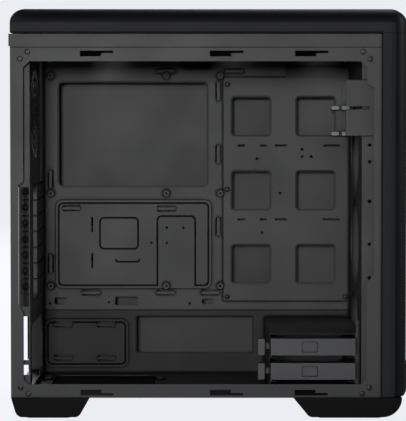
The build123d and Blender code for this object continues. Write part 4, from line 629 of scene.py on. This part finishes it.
for node in ("top_filter_mesh", "psu_filter_mesh"):
    panels = [(a[:2], b[:2]) for a, b in islands(node)]
    level = box_of(node)[1][2]
    perforated(node + ".cloth", node, panels, square, 0.5 * square, (CLOTH_STEP, CLOTH_STEP, 0.0), 3 * MM,
               lambda f: np.stack([f[:, 0], f[:, 1], np.full(len(f), level)], -1), 0.6, 2)

# %% [markdown]
# ## Rolled rims
# Each window in the tray has a rim that is rolled away from the viewer, so that
# cables aren't cut on it. It is a band between two round-cornered rectangles, the
# second one smaller and deeper in the sheet. The slope turns the band away from
# the light, which draws the dark outline round each window.

# %% Rolled rims
def round_box(x0, x1, z0, z1, r, count=12):
    """Points of a rectangle with quarter-circle corners, as an array of X and Z, in one turn."""
    t = np.linspace(0, math.pi / 2, count)
    corners = [(x1 - r, z1 - r, 0), (x0 + r, z1 - r, 1), (x0 + r, z0 + r, 2), (x1 - r, z0 + r, 3)]
    return np.vstack([np.stack([x + r * np.cos(t + k * math.pi / 2), z + r * np.sin(t + k * math.pi / 2)], -1)
                      for x, z, k in corners])


def rolled_rims(name, node, boxes, face_y, slope_mm, deep_mm, corner, sheet_mm=0.7):
    """Closed bands: from round_box at face_y to one inset by slope_mm and deep_mm behind, and back in the sheet."""
    section = ((0, 0), (slope_mm * 0.35, deep_mm * 0.25), (slope_mm * 0.8, deep_mm * 0.7), (slope_mm, deep_mm),
               (slope_mm - sheet_mm, deep_mm), (-0.05, sheet_mm))
    all_points, all_quads, start = [], [], 0
    for x0, x1, z0, z1 in boxes:
        loops = []
        for inset, deep in section:
            flat = round_box(x0 + inset, x1 - inset, z0 + inset, z1 - inset, max(corner - inset, 1.0)) * MM
            loops.append(np.stack([flat[:, 0], np.full(len(flat), (face_y + deep) * MM), flat[:, 1]], -1))
        points = np.vstack(loops)
        quads = ring_faces(len(loops) + 1, len(loops[0])) % len(points)
        all_points.append(points)
        all_quads.append(quads + start)
        start += len(points)
    points, quads = np.vstack(all_points), np.vstack(all_quads)
    return mesh_piece(name, points, outward(points, quads), node)


WINDOW = 55.0            # side of the cable plate's windows, mm
WINDOW_COLUMNS = (9.4, 96.2)             # from the plate's rear edge, mm
WINDOW_ROWS = (24.1, 123.5, 223.0)       # under the plate's top edge, mm
CUT_OUT = (-204.8, -0.6, 277.3, 421.0)   # opening behind the processor, X and Z limits, mm
LOW_OPENING = (-100.0, 60.0, 53.0, 105.4)
plate_low, plate_high = (1000 * v for v in box_of("cable_plate"))
windows = [(plate_low[0] + across, plate_low[0] + across + WINDOW,
            plate_high[2] - down - WINDOW, plate_high[2] - down) for across in WINDOW_COLUMNS for down in WINDOW_ROWS]
rolled_rims("cable_plate.rims", "cable_plate", windows, plate_low[1] + 0.1, 2.6,
            plate_high[1] - plate_low[1] - 0.1, 6)
rolled_rims("motherboard_tray.rim", "motherboard_tray", [CUT_OUT], 80.05, 3.0, 0.9, 8, 0.3)
rolled_rims("lower_tray_panel.rim", "lower_tray_panel", [LOW_OPENING], 81.05, 2.2, 0.9, 4, 0.3)

# %% [markdown]
# ## Floor, light and camera
# The case stands on a pale floor that bends up into a pale wall, as in a product
# studio, so no horizon shows. The paper glows a little by itself, so it stays pale
# without lighting the case. The strongest soft box stands almost behind the camera,
# a little up and to the left, and reaches to the bottom of the shell. Six weak ones
# give shape to the other sides, and a faint world fills what is left.

# %% Studio
def sweep(half_width, front, back, height, bend):
    """Floor and wall joined by a quarter circle: y and z are given along the path, x is straight across."""
    a = np.linspace(0, math.pi / 2, 24)
    y = np.concatenate([[front], back - bend + bend * np.sin(a), [back]])
    z = np.concatenate([[0], bend - bend * np.cos(a), [height]])
    x = np.array([-half_width, half_width])
    grid = np.stack([np.repeat(x[None, :], len(y), 0), np.repeat(y[:, None], 2, 1), np.repeat(z[:, None], 2, 1)], -1)
    i = np.arange(len(y) - 1)
    quads = np.stack([2 * i, 2 * i + 1, 2 * i + 3, 2 * i + 2], -1)
    return grid.reshape(-1, 3), quads


points, quads = sweep(20.0, -30.0, 6.5, 6.0, 1.5)
floor_mesh = bpy.data.meshes.new("StudioSweep")
floor_mesh.from_pydata(points.tolist(), [], quads.tolist())
floor_mesh.shade_smooth()
floor = bpy.data.objects.new("StudioSweep", floor_mesh)
bpy.context.scene.collection.objects.link(floor)
paper, tree, shader, place = finish_of("PaleStudioPaper", Roughness=0.9, Emission_Strength=0.92,
                                       Emission_Color=linear("#f2f5fa"))
fibre = add(tree, "TexNoise", {"Vector": place, "Scale": 40.0, "Detail": 2.0}).outputs[0]
tree.links.new(two_tone(tree, fibre, "#26272a", "#292a2d"), shader.inputs["Base Color"])
floor_mesh.materials.append(paper)
floor.visible_diffuse = floor.visible_glossy = False


def soft_box(name, place, aim, size, watts):
    """A square area light at place, turned to look at aim, and not seen by the camera itself."""
    lamp = bpy.data.lights.new(name, "AREA")
    lamp.energy, lamp.size = watts, size
    box = bpy.data.objects.new(name, lamp)
    back = np.array(place, float) - np.array(aim, float)
    box.location = place
    box.rotation_euler = (math.atan2(math.hypot(back[0], back[1]), back[2]), 0, math.atan2(back[0], -back[1]))
    box.visible_camera = False
    bpy.context.scene.collection.objects.link(box)


soft_box("FrontBox", (-0.45, -5.0, 0.85), (0, 0, 0.25), 0.7, 112)
soft_box("KeyBox", (-2.1, -2.8, 1.6), (0, 0, 0.25), 1.0, 2)
soft_box("FillBox", (2.6, -2.0, 1.3), (0, 0, 0.25), 1.2, 3)
soft_box("TopBox", (0.3, 1.6, 3.0), (0, 0.1, 0.2), 1.6, 44)
soft_box("RearBox", (-3.2, 0.9, 1.4), (-0.2, 0, 0.25), 1.6, 12)
soft_box("FarSideBox", (-0.9, 2.9, 1.5), (0, 0, 0.25), 1.4, 44)
soft_box("MeshSideBox", (3.8, 0.6, 1.4), (0.2, 0, 0.25), 1.4, 60)
world = bpy.data.worlds.new("PaleTent")
world.use_nodes = True
world.node_tree.nodes["Background"].inputs["Color"].default_value = linear("#f2f5fa")
world.node_tree.nodes["Background"].inputs["Strength"].default_value = 0.08
bpy.context.scene.world = world
bpy.context.scene.view_settings.view_transform = "Standard"

# %% [markdown]
# The camera is a long lens, straight in front of the open side and tilted down a
# little. It stands 2.27 m in front of the middle of the case and 0.386 m up.

# %% Camera
EYE = (-4.65 * MM, -2270 * MM, 386 * MM)
FOCAL = 1750.0           # picture widths are counted in units of which 421 make the long side
TILT = math.radians(1.8)
lens = bpy.data.cameras.new("SideCamera")
lens.sensor_width = 36.0
lens.lens = FOCAL / 421 * lens.sensor_width
lens.shift_x = -3.0 / 421
lens.shift_y = (106.9 + FOCAL * math.tan(TILT) - 210.5) / 421
camera = bpy.data.objects.new("SideCamera", lens)
camera.location = EYE
camera.rotation_euler = (math.pi / 2 - TILT, 0, 0)
bpy.context.scene.collection.objects.link(camera)
bpy.context.scene.camera = camera
print("lens", round(lens.lens, 2), "mm, shift", round(lens.shift_x, 4), round(lens.shift_y, 4))
